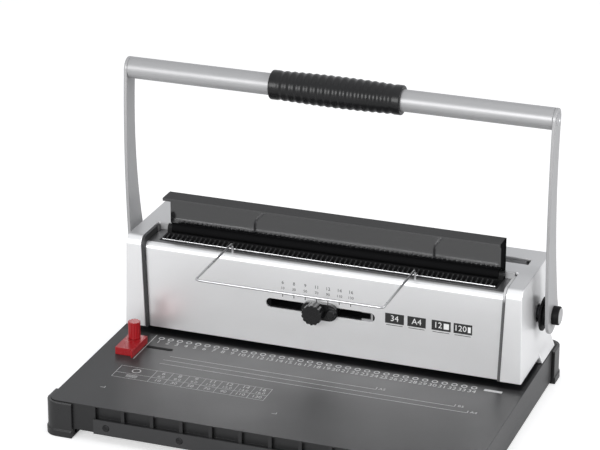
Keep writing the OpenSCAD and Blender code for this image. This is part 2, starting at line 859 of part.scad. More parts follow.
module lid() color(black) {
    half = tray_l / 2 - lug_l - slide_gap;
    outer = tray_l / 2;
    top = hinge_z + lid_h;
    wall_back = hinge_y + knuckle_r;
    wall_front = wall_back - lid_t;
    wall_low = hinge_z + knuckle_r + slide_gap;
    flange_front = wall_back - lid_flange;
    gusset_front = wall_back - lid_gusset;
    difference() {
        union() {
            x_rod(-half, half, hinge_y, hinge_z, knuckle_r);
            block([-half, wall_front, hinge_z], [half, wall_back, top]);
            block([lid_t / 2 - outer, wall_front, hinge_z + slide_gap], [outer, wall_back, top]);
            block([-outer, flange_front, top - lid_t], [outer, wall_back, top]);
            along_x(outer - lid_t, outer)
                polygon([[wall_back, wall_low], [wall_front, wall_low], [gusset_front, wall_low + 7],
                         [gusset_front, top], [wall_back, top]]);
        }
        x_rod(-half - cut, half + cut, hinge_y, hinge_z, hinge_rod_d / 2 + run_gap);
        // The ends curve round the tray's lugs
        x_rod(-outer - cut, -half, hinge_y, hinge_z, knuckle_r + slide_gap);
        x_rod(half, outer + cut, hinge_y, hinge_z, knuckle_r + slide_gap);
    }
}

function rack_y() = panel_y + rack_in;

// Bent wire rack that carries the sheets in front of the comb
module wire_rack() color("gainsboro") {
    r = rack_wire / 2;
    low = panel_top - panel_t - 7;
    bend = panel_top + rack_h;
    front = [rack_y() - rack_reach, bend + rack_rise];
    run = sqrt(rack_reach * rack_reach + rack_rise * rack_rise);
    tilt = atan2(rack_rise, rack_reach);
    for (s = [-1, 1]) translate([s * rack_w / 2, 0, 0]) {
        translate([0, rack_y(), low]) cylinder(h = bend - low, r = r);
        translate([0, rack_y(), bend]) sphere(r);
        translate([0, rack_y(), bend]) rotate([90 - tilt, 0, 0]) cylinder(h = run, r = r);
        translate([0, front[0], front[1]]) sphere(r);
    }
    x_rod(-rack_w / 2, rack_w / 2, front[0], front[1], r);
}

module drive_shaft() color(steel) x_rod(-arm_out, arm_out, pivot_y, pivot_z, shaft_d / 2);

// Round disc fixed off centre on the shaft
module eccentric(x, y, z, r) color(steel) difference() {
    x_rod(x - cam_t / 2, x + cam_t / 2, y, z, r);
    x_rod(x - cam_t, x + cam_t, pivot_y, pivot_z, shaft_d / 2);
}

module punch_cam_left() eccentric(-punch_cam_x, punch_cam_y, punch_cam_z, punch_cam_r);
module punch_cam_right() eccentric(punch_cam_x, punch_cam_y, punch_cam_z, punch_cam_r);
module jaw_cam_left() eccentric(-jaw_cam_x, jaw_cam_y, jaw_cam_z, jaw_cam_r);
module jaw_cam_right() eccentric(jaw_cam_x, jaw_cam_y, jaw_cam_z, jaw_cam_r);

// Disc beside the housing, with a hub that spaces the arm off it
module spacer_disc(s) color(black) {
    inner = housing_w / 2 + disc_gap;
    outer = inner + disc_t;
    difference() {
        union() {
            x_rod(s > 0 ? inner : -outer, s > 0 ? outer : -inner, pivot_y, pivot_z, disc_d / 2);
            x_rod(s > 0 ? inner : -arm_x, s > 0 ? arm_x : -inner, pivot_y, pivot_z, hub_d / 2);
        }
        x_rod(-arm_out, arm_out, pivot_y, pivot_z, shaft_d / 2);
    }
}

module disc_left() spacer_disc(-1);
module disc_right() spacer_disc(1);

// Flat steel arm, bowed forward, with an eye at each end
module lever_arm(s) color(silver) {
    top_r = tube_d / 2;
    difference() {
        along_x(s > 0 ? arm_x : -arm_out, s > 0 ? arm_out : -arm_x) {
            translate([tube_y, tube_z]) circle(top_r);
            translate([pivot_y, pivot_z]) circle(arm_eye_r);
            polygon(concat(
                bow([tube_y - top_r, tube_z], [pivot_y - arm_eye_r, pivot_z], arm_front_bow),
                bow([pivot_y + arm_eye_r, pivot_z], [tube_y + top_r, tube_z], arm_rear_bow)
            ));
        }
        x_rod(-arm_out - cut, arm_out + cut, pivot_y, pivot_z, shaft_d / 2);
    }
}

module arm_left() lever_arm(-1);
module arm_right() lever_arm(1);

module handle_tube() color(silver) difference() {
    x_rod(-arm_x, arm_x, tube_y, tube_z, tube_d / 2);
    x_rod(-arm_x - cut, arm_x + cut, tube_y, tube_z, tube_d / 2 - tube_wall);
}

// Outline of the grip along its length, a swelling row of rounded rings
function grip_outline() = let (n = grip_rings * 6, body = grip_l - 12) concat(
    [[tube_d / 2, -grip_l / 2], [grip_d / 2 - 0.4, -grip_l / 2], [grip_d / 2, -grip_l / 2 + 1]],
    [for (i = [0 : n]) let (t = i / n, z = (t - 0.5) * body)
        [grip_d / 2 + grip_swell * sin(180 * t) - grip_groove * (1 - cos(360 * t * grip_rings)) / 2, z]],
    [[grip_d / 2, grip_l / 2 - 1], [grip_d / 2 - 0.4, grip_l / 2], [tube_d / 2, grip_l / 2]]
);

module grip() color(black)
    translate([0, tube_y, tube_z]) rotate([0, 90, 0]) rotate_extrude() polygon(grip_outline());

module pivot_cap(s) color(black)
    translate([s * arm_out, pivot_y, pivot_z]) rotate([0, s * 90, 0]) rotate_extrude()
        polygon([[0, 0], [cap_d / 2, 0], [cap_d / 2, cap_l - 1], [cap_d / 2 - 1, cap_l], [0, cap_l]]);

module cap_left() pivot_cap(-1);
module cap_right() pivot_cap(1);

// Bar over the punches, with a yoke round each punch eccentric and an ear over each spring
module pressure_bar() color(steel) {
    y_min = pivot_y - punch_ecc - punch_cam_r - cam_gap;
    y_max = punch_cam_y + punch_cam_r + cam_gap;
    z_min = punch_cam_z - punch_cam_r - cam_gap;
    z_max = punch_cam_z + punch_cam_r + cam_gap;
    block([-bar_half, pin_y - bar_d / 2, bar_low], [bar_half, pin_y + bar_d / 2, bar_top]);
    for (s = [-1, 1]) {
        translate([s * punch_cam_x, 0, 0]) along_x(-cam_t / 2, cam_t / 2) difference() {
            polygon([[y_min - yoke_rim, bar_low], [y_max + yoke_rim, bar_low],
                     [y_max + yoke_rim, z_max + yoke_rim], [y_min - yoke_rim, z_max + yoke_rim]]);
            polygon([[y_min, z_min], [y_max, z_min], [y_max, z_max], [y_min, z_max]]);
        }
        block([s > 0 ? bar_half - 4 : -bar_half, pin_y - bar_d / 2, bar_low],
              [s > 0 ? bar_half : 4 - bar_half, pin_y + bar_d / 2, ear_low + ear_t]);
        block([s > 0 ? bar_half - 4 : -frame_x + 2, pin_y - bar_d / 2, ear_low],
              [s > 0 ? frame_x - 2 : 4 - bar_half, pin_y + bar_d / 2, ear_low + ear_t]);
    }
}

module punch_pins() color("gainsboro") {
    side = pin_side / 2;
    for (x = pin_places()) block([x - side, pin_y - side, pin_tip], [x + side, pin_y + side, bar_low]);
}

// Return spring: one round wire swept along a helix, closed at both ends
function spring_point(a) = let (
    r = (spring_d - spring_wire) / 2,
    low = guide_top + spring_wire / 2 + 0.1,
    high = ear_low - spring_wire / 2 - 0.1
) [r * cos(a), r * sin(a), low + (high - low) * a / (360 * spring_coils)];

rings_per_coil = 8;
wire_sides = 6;

module return_spring(s) color("dimgray") {
    rings = spring_coils * rings_per_coil;
    points = [for (i = [0 : rings], j = [0 : wire_sides - 1])
        let (a = 360 * i / rings_per_coil, b = 360 * j / wire_sides, r = spring_wire / 2)
            spring_point(a) + [r * cos(b) * cos(a), r * cos(b) * sin(a), r * sin(b)]];
    sides = [for (i = [0 : rings - 1], j = [0 : wire_sides - 1])
        let (k = (j + 1) % wire_sides, a = i * wire_sides, b = (i + 1) * wire_sides)
            each [[a + j, b + j, b + k], [a + j, b + k, a + k]]];
    near_end = [for (j = [1 : wire_sides - 2]) [0, j, j + 1]];
    last = rings * wire_sides;
    far_end = [for (j = [1 : wire_sides - 2]) [last, last + j + 1, last + j]];
    translate([s * spring_x, pin_y, 0]) polyhedron(points, concat(sides, near_end, far_end));
}

module spring_left() return_spring(-1);
module spring_right() return_spring(1);

// Least gap between neighbouring coils, measured on the helix one turn apart
coil_gap = min([for (i = [0 : rings_per_coil]) let (a = 360 * i / rings_per_coil)
    norm(spring_point(a + 360) - spring_point(a)) - spring_wire]);
echo(least_gap_between_coils = coil_gap);

// Moving jaw of the closing slot, drawn by a yoke round each jaw eccentric
module closer_jaw() color(steel) {
    y_min = jaw_cam_y - jaw_cam_r - cam_gap;
    y_max = jaw_cam_y + jaw_cam_r + cam_gap;
    z_min = pivot_z - jaw_ecc - jaw_cam_r - cam_gap;
    z_max = jaw_cam_z + jaw_cam_r + cam_gap;
    half = housing_w / 2 - closer_end_left - jaw_inset;
    block([-half, closer_front - jaw_t, jaw_low], [half, closer_front, jaw_top]);
    for (s = [-1, 1]) translate([s * jaw_cam_x, 0, 0]) along_x(-cam_t / 2, cam_t / 2) {
        difference() {
            translate([y_min - yoke_rim, z_min - yoke_rim])
                square([y_max - y_min + 2 * yoke_rim, z_max - z_min + 2 * yoke_rim]);
            translate([y_min, z_min]) square([y_max - y_min, z_max - z_min]);
        }
        translate([closer_front - jaw_t - 3, z_max]) square([jaw_t + 2, jaw_low + 6 - z_max]);
    }
}

// Slider in the panel's slot, with a plate behind that keeps it in
module selector_slider() color(black) {
    back_y = panel_y + panel_t + 1.5 + slide_gap;
    face_back = panel_y - slide_gap;
    face_front = face_back - 4;
    boss_r = 4.5;
    translate([slider_x, 0, slot_mid]) {
        along_y(face_front, face_back) slot_shape(slider_l, slider_h);
        block([-stem_w / 2, face_back, -stem_h / 2], [stem_w / 2, back_y, stem_h / 2]);
        block([-slider_l / 2, back_y, -slot_w / 2 - 2], [slider_l / 2, back_y + 2, slot_w / 2 + 2]);
        translate([slider_l / 2 - boss_r - 0.5, face_front, 0]) rotate([90, 0, 0])
            cylinder(h = 3, r1 = boss_r, r2 = boss_r - 1);
        translate([-selector_knob_x, face_front, 0]) rotate([90, 0, 0]) cylinder(h = stud_l, r = stud_r);
    }
}

// Knurled clamp knob on the slider
module selector_knob() color(black) {
    flutes = 14;
    face_front = panel_y - slide_gap - 4;
    place = [slider_x - selector_knob_x, face_front - slide_gap, slot_mid];
    translate(place) rotate([90, 0, 0]) difference() {
        cylinder(h = selector_knob_l, d = selector_knob_d);
        translate([0, 0, -cut]) cylinder(h = stud_l + cut, r = stud_r + run_gap);
        for (i = [0 : flutes - 1]) rotate([0, 0, i * 360 / flutes])
            translate([selector_knob_d / 2 + 0.8, 0, -cut]) cylinder(h = selector_knob_l + 2 * cut, r = 1.5);
    }
}

module edge_guide() color("crimson") difference() {
    block([guide_x, guide_front, base_h], [guide_x + guide_w, guide_front + guide_l, base_h + guide_h]);
    translate([guide_screw_x, screw_y, base_h - cut])
        cylinder(h = guide_h + 2 * cut, r = screw_stem_r + run_gap);
}

// Dark fence on the guide's right side that the sheets are laid against
module guide_fence() color(black) {
    right = guide_x + guide_w;
    block([right, guide_front - fence_over, base_h],
          [right + fence_t, guide_front + guide_l, base_h + guide_h]);
}

module guide_nut() color(steel) {
    side = 5;
    top = base_h - base_wall - slide_gap;
    difference() {
        block([guide_screw_x - side, screw_y - side, top - 4], [guide_screw_x + side, screw_y + side, top]);
        translate([guide_screw_x, screw_y, top - 4 - cut])
            cylinder(h = 4 + 2 * cut, r = screw_stem_r + run_gap);
    }
}

module guide_screw() color("crimson") translate([guide_screw_x, screw_y, 0]) {
    flutes = 12;
    knob_low = base_h + guide_h + slide_gap;
    stem_low = base_h - base_wall - slide_gap - 5;
    translate([0, 0, stem_low]) cylinder(h = knob_low - stem_low + cut, r = screw_stem_r);
    difference() {
        translate([0, 0, knob_low]) cylinder(h = guide_knob_h, d = guide_knob_d);
        for (i = [0 : flutes - 1]) rotate([0, 0, i * 360 / flutes])
            translate([guide_knob_d / 2 + 0.5, 0, knob_low + 1]) cylinder(h = guide_knob_h, r = 1);
    }
}

// Open tray that catches the punched chips
module chip_drawer() color(black) {
    wall = 2;
    low = drawer_mid - drawer_d / 2;
    high = drawer_mid + drawer_d / 2;
    difference() {
        block([drawer_left, low, drawer_low], [drawer_left + drawer_l, high, drawer_low + drawer_h]);
        block([drawer_left + base_wall, low + wall, drawer_low + wall],
              [drawer_left + drawer_l - wall, high - wall, drawer_low + drawer_h + cut]);
        // Finger hollow in the drawer's end
        translate([drawer_left, drawer_mid, drawer_low + drawer_h]) rotate([0, 90, 0])
            cylinder(h = 2 * base_wall, r = 8, center = true);
    }
}

base_shell();
bottom_sheet();
foot_front_left();
foot_front_right();
foot_rear_left();
foot_rear_right();
front_strip();
strip_screws();
housing();
front_panel();
step_left();
step_right();
trim_left();
trim_right();
frame_left();
frame_right();
frame_bolts();
bush_left();
bush_right();
die_plate();
punch_guide();
paper_stop();
comb_tray();
wire_comb();
hinge_rod();
rack_sockets();
slot_plate();
closer_anvil();
closer_floor();
lid();
wire_rack();
drive_shaft();
punch_cam_left();
punch_cam_right();
jaw_cam_left();
jaw_cam_right();
disc_left();
disc_right();
arm_left();
arm_right();
handle_tube();
grip();
cap_left();
cap_right();
pressure_bar();
punch_pins();
spring_left();
spring_right();
closer_jaw();
selector_slider();
selector_knob();
edge_guide();
guide_fence();
guide_nut();
guide_screw();
chip_drawer();
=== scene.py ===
import math

import bmesh
import bpy
from mathutils import Matrix, Vector


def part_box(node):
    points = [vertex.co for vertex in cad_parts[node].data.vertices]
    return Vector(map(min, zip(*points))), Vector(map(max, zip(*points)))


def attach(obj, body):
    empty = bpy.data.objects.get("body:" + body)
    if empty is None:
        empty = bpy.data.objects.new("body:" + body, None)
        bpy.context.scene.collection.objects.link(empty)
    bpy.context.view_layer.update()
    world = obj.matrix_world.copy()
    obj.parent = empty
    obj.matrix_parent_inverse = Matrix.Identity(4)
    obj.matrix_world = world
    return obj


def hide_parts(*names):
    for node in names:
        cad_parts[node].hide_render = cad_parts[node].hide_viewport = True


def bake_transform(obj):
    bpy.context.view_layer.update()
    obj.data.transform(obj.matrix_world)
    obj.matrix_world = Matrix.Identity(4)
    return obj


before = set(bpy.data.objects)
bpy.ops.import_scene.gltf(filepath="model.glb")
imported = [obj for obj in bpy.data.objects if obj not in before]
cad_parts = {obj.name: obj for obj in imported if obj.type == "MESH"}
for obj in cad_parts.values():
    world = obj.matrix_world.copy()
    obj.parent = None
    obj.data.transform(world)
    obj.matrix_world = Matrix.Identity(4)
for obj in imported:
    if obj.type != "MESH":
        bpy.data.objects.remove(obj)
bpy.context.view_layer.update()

# Camera: a long lens a little to the right of the machine's front, looking down on the base.
# It stands about two metres off, so the sides of the base close only slightly.
yaw, pitch, roll = (math.radians(angle) for angle in (19.989, 22.066, 0.198))
camera_back = Vector((math.sin(yaw) * math.cos(pitch), -math.cos(yaw) * math.cos(pitch), math.sin(pitch)))
camera_right = Vector((math.cos(yaw), math.sin(yaw), 0.0))
camera_up = camera_back.cross(camera_right)
turned_right = camera_right * math.cos(roll) + camera_up * math.sin(roll)
turned_up = camera_up * math.cos(roll) - camera_right * math.sin(roll)
camera_place = (0.6613, -1.8425, 0.9546)
lens = bpy.data.cameras.new("studio_camera")
lens.sensor_fit = "HORIZONTAL"
lens.sensor_width = 36.0
lens.lens = 154.8
lens.clip_end = 60.0
camera = bpy.data.objects.new("studio_camera", lens)
camera.matrix_world = Matrix.Translation(camera_place) @ Matrix(
    (turned_right, turned_up, camera_back)).transposed().to_4x4()
bpy.context.scene.collection.objects.link(camera)
bpy.context.scene.camera = camera
bpy.context.scene.view_settings.view_transform = "Standard"

# Studio: a wide pale floor and a pale room, with soft boxes overhead, in front to the left and at the right.
# The floor is lifted to white only for the eye, so it keeps the machine's own soft shadow.
floor_half, floor_z = 12, -0.0001
floor_lift, room_level = 0.42, 0.6
floor_mesh = bpy.data.meshes.new("studio_floor")
floor_mesh.from_pydata([(-floor_half, -floor_half, floor_z), (floor_half, -floor_half, floor_z),
                        (floor_half, floor_half, floor_z), (-floor_half, floor_half, floor_z)],
                       [], [(0, 1, 2, 3)])
floor = bpy.data.objects.new("studio_floor", floor_mesh)
bpy.context.scene.collection.objects.link(floor)
floor_paint = bpy.data.materials.new("studio_paper")
floor_paint.use_nodes = True
tree = floor_paint.node_tree
paper = tree.nodes["Principled BSDF"]
paper.inputs["Base Color"].default_value = (0.82, 0.82, 0.82, 1)
paper.inputs["Roughness"].default_value = 0.9
paper.inputs["Specular IOR Level"].default_value = 0.1
lift = tree.nodes.new("ShaderNodeEmission")
lift.inputs["Color"].default_value = (1, 1, 1, 1)
sight = tree.nodes.new("ShaderNodeLightPath")
amount = tree.nodes.new("ShaderNodeMath")
amount.operation = "MULTIPLY"
amount.inputs[1].default_value = floor_lift
tree.links.new(sight.outputs["Is Camera Ray"], amount.inputs[0])
tree.links.new(amount.outputs[0], lift.inputs["Strength"])
both = tree.nodes.new("ShaderNodeAddShader")
tree.links.new(paper.outputs[0], both.inputs[0])
tree.links.new(lift.outputs[0], both.inputs[1])
tree.links.new(both.outputs[0], tree.nodes["Material Output"].inputs["Surface"])
floor_mesh.materials.append(floor_paint)

room = bpy.data.worlds.new("studio_room")
room.use_nodes = True
bpy.context.scene.world = room
tree = room.node_tree
sky = tree.nodes["Background"]
sky.inputs["Color"].default_value = (0.92, 0.93, 0.95, 1)
sight = tree.nodes.new("ShaderNodeLightPath")
direct = tree.nodes.new("ShaderNodeMath")
direct.operation = "MAXIMUM"
tree.links.new(sight.outputs["Is Camera Ray"], direct.inputs[0])
tree.links.new(sight.outputs["Is Transmission Ray"], direct.inputs[1])
mirrored = tree.nodes.new("ShaderNodeMath")
mirrored.operation = "MAXIMUM"
tree.links.new(direct.outputs[0], mirrored.inputs[0])
tree.links.new(sight.outputs["Is Glossy Ray"], mirrored.inputs[1])
level = tree.nodes.new("ShaderNodeMapRange")
level.inputs["To Min"].default_value = room_level
level.inputs["To Max"].default_value = 1.0
tree.links.new(mirrored.outputs[0], level.inputs["Value"])
tree.links.new(level.outputs[0], sky.inputs["Strength"])


def soft_box(name, place, target, width, height, power):
    """A square-cornered studio lamp at a place, facing a target."""
    lamp = bpy.data.lights.new(name, "AREA")
    lamp.shape = "RECTANGLE"
    lamp.size = width
    lamp.size_y = height
    lamp.energy = power
    holder = bpy.data.objects.new(name, lamp)
    holder.location = place
    holder.rotation_euler = (Vector(target) - Vector(place)).to_track_quat("-Z", "Y").to_euler()
    bpy.context.scene.collection.objects.link(holder)


soft_box("overhead_box", (0.1, 0.0, 1.7), (0.0, 0.0, 0.05), 1.6, 1.0, 1.5)
soft_box("front_box", (-0.4, -2.1, 0.8), (0.0, 0.0, 0.1), 1.4, 1.0, 34.0)
soft_box("right_box", (1.5, 0.1, 0.7), (0.1, 0.0, 0.08), 0.8, 0.8, 13.0)

# Base: one black moulding with an open underside, a fine eroded grain on its top and soft edges.
# The paper table in front is charcoal; the front wall is painted darker as painted shade, and behind the
# printed row a painted shadow in deep black stands for the shade under the housing.


def grained(name, colour, rough, metal=0.0, grain=700.0, depth=0.05, fleck=0.08, blotch=16.0,
            gloss_spread=0.06, shine=0.5):
    """A finish with a fine surface grain, a slow drift of its tone and a slow drift of its gloss."""
    finish = bpy.data.materials.new(name)
    finish.use_nodes = True
    nodes, links = finish.node_tree.nodes, finish.node_tree.links
    shader = nodes["Principled BSDF"]
    shader.inputs["Metallic"].default_value = metal
    shader.inputs["Specular IOR Level"].default_value = shine
    spots = nodes.new("ShaderNodeTexCoord")
    fine = nodes.new("ShaderNodeTexNoise")
    fine.inputs["Scale"].default_value = grain
    fine.inputs["Detail"].default_value = 3.0
    slow = nodes.new("ShaderNodeTexNoise")
    slow.inputs["Scale"].default_value = blotch
    slow.inputs["Detail"].default_value = 4.0
    blend = nodes.new("ShaderNodeMix")
    blend.inputs[0].default_value = 0.4
    tone = nodes.new("ShaderNodeValToRGB")
    tone.color_ramp.elements[0].position = 0.3
    tone.color_ramp.elements[1].position = 0.7
    tone.color_ramp.elements[0].color = [c * (1 - fleck) for c in colour] + [1]
    tone.color_ramp.elements[1].color = [min(1, c * (1 + fleck)) for c in colour] + [1]
    gloss = nodes.new("ShaderNodeMapRange")
    gloss.inputs["From Min"].default_value = 0.3
    gloss.inputs["From Max"].default_value = 0.7
    gloss.inputs["To Min"].default_value = max(0.03, rough - gloss_spread)
    gloss.inputs["To Max"].default_value = rough + gloss_spread
    relief = nodes.new("ShaderNodeBump")
    relief.inputs["Strength"].default_value = depth
    relief.inputs["Distance"].default_value = 0.0005
    for noise in (fine, slow):
        links.new(spots.outputs["Object"], noise.inputs["Vector"])
    links.new(slow.outputs[0], blend.inputs[2])
    links.new(fine.outputs[0], blend.inputs[3])
    links.new(blend.outputs[0], tone.inputs["Fac"])
    links.new(tone.outputs["Color"], shader.inputs["Base Color"])
    links.new(slow.outputs[0], gloss.inputs["Value"])
    links.new(gloss.outputs[0], shader.inputs["Roughness"])
    links.new(fine.outputs[0], relief.inputs["Height"])
    links.new(relief.outputs[0], shader.inputs["Normal"])
    return finish


def keep_piece(name, mesh, body, slot, finish, *nodes):
    """Puts a finished mesh on its body, with its finish, in place of the named solids."""
    mesh.materials.clear()
    mesh.materials.append(finish)
    piece = bpy.data.objects.new(name, mesh)
    bpy.context.scene.collection.objects.link(piece)
    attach(piece, body)
    if nodes:
        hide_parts(*nodes)
    return piece


def baked(piece):
    """The piece's mesh with all its modifiers worked in."""
    seen_now = piece.evaluated_get(bpy.context.evaluated_depsgraph_get())
    mesh = bpy.data.meshes.new_from_object(seen_now)
    bpy.data.objects.remove(piece)
    return mesh


def broken_edges(node, body, slot, finish, width, segments=2):
    """A copy of a solid with its sharp edges broken to a small radius, as moulded or deburred pieces have."""
    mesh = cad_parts[node].data.copy()
    shape = bmesh.new()
    shape.from_mesh(mesh)
    bmesh.ops.remove_doubles(shape, verts=shape.verts, dist=2e-6)
    bmesh.ops.dissolve_limit(shape, angle_limit=0.002, verts=shape.verts, edges=shape.edges)
    shape.to_mesh(mesh)
    shape.free()
    draft = bpy.data.objects.new(node + "_draft", mesh)
    bpy.context.scene.collection.objects.link(draft)
    bevel = draft.modifiers.new("broken_edge", "BEVEL")
    bevel.width = width
    bevel.segments = segments
    bevel.limit_method = "ANGLE"
    bevel.angle_limit = math.radians(32)
    bevel.use_clamp_overlap = True
    done = baked(draft)
    done.shade_smooth()
    done.set_sharp_from_angle(angle=math.radians(38))
    flat = bpy.data.objects.new(node + "_flat", done)
    bpy.context.scene.collection.objects.link(flat)
    shading = flat.modifiers.new("flat_faces", "WEIGHTED_NORMAL")
    shading.mode = "FACE_AREA"
    shading.weight = 100
    shading.keep_sharp = True
    return keep_piece(node + "_shown", baked(flat), body, slot, finish, node)


def second_tone(finish, colour, *limits, shine=None):
    """Gives a finish another colour, and shine if named, where X, Y or Z has passed each limit's run-in."""
    nodes, links = finish.node_tree.nodes, finish.node_tree.links
    shader = nodes["Principled BSDF"]
    parts = nodes.new("ShaderNodeSeparateXYZ")
    links.new(nodes["Texture Coordinate"].outputs["Object"], parts.inputs[0])
    inside = None
    for axis, start, full in limits:
        ramp = nodes.new("ShaderNodeMapRange")
        ramp.inputs["From Min"].default_value = start
        ramp.inputs["From Max"].default_value = full
        links.new(parts.outputs[axis], ramp.inputs["Value"])
        passed = ramp.outputs[0]
        if inside is not None:
            both = nodes.new("ShaderNodeMath")
            both.operation = "MULTIPLY"
            links.new(inside, both.inputs[0])
            links.new(passed, both.inputs[1])
            passed = both.outputs[0]
        inside = passed
    shade = nodes.new("ShaderNodeMix")
    shade.data_type = "RGBA"
    shade.inputs[7].default_value = (*colour, 1)
    links.new(inside, shade.inputs[0])
    links.new(shader.inputs["Base Color"].links[0].from_socket, shade.inputs[6])
    links.new(shade.outputs[2], shader.inputs["Base Color"])
    if shine is not None:
        level = shader.inputs["Specular IOR Level"]
        gleam = nodes.new("ShaderNodeMix")
        gleam.inputs[2].default_value = level.default_value
        gleam.inputs[3].default_value = shine
        links.new(inside, gleam.inputs[0])
        if level.links:
            links.new(level.links[0].from_socket, gleam.inputs[2])
        links.new(gleam.outputs[0], level)


panel_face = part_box("front_panel")[0][1]
housing_shadow_y = panel_face - 0.005
grip_depth = 0.010
base_black = grained("base_moulding", (0.052, 0.052, 0.053), 0.36, grain=1500.0, depth=0.12, fleck=0.12,
                     blotch=9.0, shine=0.28)
front_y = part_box("base_shell")[0][1]
table_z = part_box("base_shell")[1][2]
# Painted shade: the front wall and its grip recesses are painted darker than the rest of the moulding.
second_tone(base_black, (0.018, 0.018, 0.0185), ("Y", front_y + grip_depth + 0.002, front_y + grip_depth))
second_tone(base_black, (0.025, 0.025, 0.026), ("Z", table_z - 0.0008, table_z - 0.0001), shine=0.24)
# Painted shadow: the table behind the printed row, under the housing and in the throat, is painted deep
# black.
second_tone(base_black, (0.006, 0.006, 0.0065), ("Y", housing_shadow_y - 5e-5, housing_shadow_y + 5e-5),
            ("Z", table_z - 0.0002, table_z - 0.0001))
broken_edges("base_shell", "machine", "base_black", base_black, 0.0007)

# Corner feet: four boots of black rubbery plastic with a lip at the table.
# Each is moulded hollow and pressed over a corner of the base.
foot_black = grained("foot_plastic", (0.010, 0.010, 0.0105), 0.32, grain=1100.0, depth=0.06, shine=0.5)
for corner in ("front_left", "front_right", "rear_left", "rear_right"):
    broken_edges("foot_" + corner, "machine", "base_black", foot_black, 0.0009)

# Front strip: a flat bar of black plastic along the front wall, under the grip recesses.
# It is held by a row of small blacked screws, sunk in its face.
strip_black = grained("strip_plastic", (0.031, 0.031, 0.032), 0.42, grain=1300.0, depth=0.1, shine=0.3)
broken_edges("front_strip", "machine", "base_black", strip_black, 0.0004)
screw_black = grained("blacked_screw", (0.022, 0.022, 0.023), 0.35, metal=0.6, grain=2200.0, depth=0.05)
broken_edges("strip_screws", "machine", "black_plastic", screw_black, 0.00012, 1)

# Metal inside: ground steel frames, guide and punches, blued die, bar and shaft, plated jaw, bronze bushes.
# These show only from below or through the openings, so each keeps its solid and takes a finish.
ground_steel = grained("ground_steel", (0.46, 0.46, 0.47), 0.34, metal=1.0, grain=900.0, depth=0.05,
                       blotch=30.0)
zinc_sheet = grained("zinc_sheet", (0.56, 0.56, 0.57), 0.45, metal=0.35, grain=900.0, depth=0.05, blotch=40.0)
blued_steel = grained("blued_steel", (0.035, 0.036, 0.040), 0.4, metal=0.8, grain=900.0, depth=0.05)
bush_bronze = grained("bush_bronze", (0.50, 0.34, 0.14), 0.32, metal=1.0, grain=800.0, depth=0.04)


def coated(finish, *nodes):
    """Gives a finish to solids that keep their own shape."""
    for node in nodes:
        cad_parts[node].data.materials.clear()
        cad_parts[node].data.materials.append(finish)


coated(ground_steel, "bottom_sheet", "frame_left", "frame_right", "frame_bolts", "punch_guide", "paper_stop",
       "hinge_rod", "punch_cam_left", "punch_cam_right", "jaw_cam_left", "jaw_cam_right", "punch_pins",
       "guide_nut")
coated(zinc_sheet, "closer_anvil", "closer_floor", "closer_jaw")
coated(blued_steel, "die_plate", "drive_shaft", "pressure_bar")
coated(bush_bronze, "bush_left", "bush_right")

# Return springs: two coils of spring wire that stand between the punch guide and the pressure bar.
# On the machine each coil shortens as the bar comes down; here each is a still copy of its solid in ground
# steel.
for side in ("left", "right"):
    coil_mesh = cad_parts["spring_" + side].data.copy()
    coil_mesh.materials.clear()
    coil_mesh.materials.append(ground_steel)
    coil = bpy.data.objects.new("spring_" + side + "_shown", coil_mesh)
    bpy.context.scene.collection.objects.link(coil)
    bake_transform(coil)
    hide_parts("spring_" + side)

# Housing: one folded steel cover over both ends, the top and the back, screwed to the frames.
# It is painted with a fine metal-flake silver lacquer; the deck is a tone darker, painted shade for the top
# faces that take less light.
silver_lacquer = grained("silver_lacquer", (0.82, 0.82, 0.825), 0.34, metal=0.6, grain=2600.0, depth=0.03,
                         fleck=0.04, blotch=5.0, gloss_spread=0.04)
deck_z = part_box("housing")[1][2]
# Painted shade: the housing's deck is painted a tone darker than its sides.
second_tone(silver_lacquer, (0.50, 0.50, 0.505), ("Z", deck_z - 0.0010, deck_z - 0.0001))
broken_edges("housing", "machine", "silver_paint", silver_lacquer, 0.0006)

# Front panel: folded steel sheet between the end covers, with a rounded top edge.
# Its face has the silver lacquer; the ledge behind the edge is painted darker and dull, painted shade and a
# painted reflection of the dark lid.
ledge_y = panel_face + 0.0060
panel_lacquer = grained("panel_lacquer", (0.82, 0.82, 0.825), 0.33, metal=0.68, grain=2600.0, depth=0.03,
                        fleck=0.04, blotch=5.0, gloss_spread=0.04)
# Painted shade and painted reflection: the ledge behind the panel's rounded edge is painted dark and dull.
second_tone(panel_lacquer, (0.13, 0.13, 0.133), ("Y", ledge_y - 0.0015, ledge_y), shine=0.1)
broken_edges("front_panel", "machine", "silver_paint", panel_lacquer, 0.00025)

# Step plates: two small silver plates beside the comb channel, welded on the panel's wings.
# They close the step from the panel's ledge up to the deck of the housing.
step_lacquer = grained("step_lacquer", (0.46, 0.46, 0.465), 0.42, metal=0.5, grain=2600.0, depth=0.03,
                       fleck=0.04)
for side in ("left", "right"):
    broken_edges("step_" + side, "machine", "silver_paint", step_lacquer, 0.0002, 1)

# Trim: thin plastic strips that line the step from the end covers down to the panel, clipped in.
# The left one is black; the right one is the same plastic painted a lighter grey as painted light, with a
# painted highlight in silver where it bends over the panel's top edge.
trim_black = grained("trim_plastic", (0.024, 0.024, 0.025), 0.55, grain=900.0, depth=0.06)
broken_edges("trim_left", "machine", "black_plastic", trim_black, 0.00015, 1)
# Painted light: the right strip is the left strip's plastic in a lighter grey.
trim_painted_light = grained("trim_plastic_painted_light", (0.085, 0.085, 0.087), 0.55, grain=900.0, depth=0.06)
trim_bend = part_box("front_panel")[1][2] - 0.006
# Painted highlight: the strip is painted silver where it bends over the panel's bright top edge.
second_tone(trim_painted_light, (0.50, 0.50, 0.505), ("Z", trim_bend, trim_bend + 0.004))
broken_edges("trim_right", "machine", "black_plastic", trim_painted_light, 0.00015, 1)

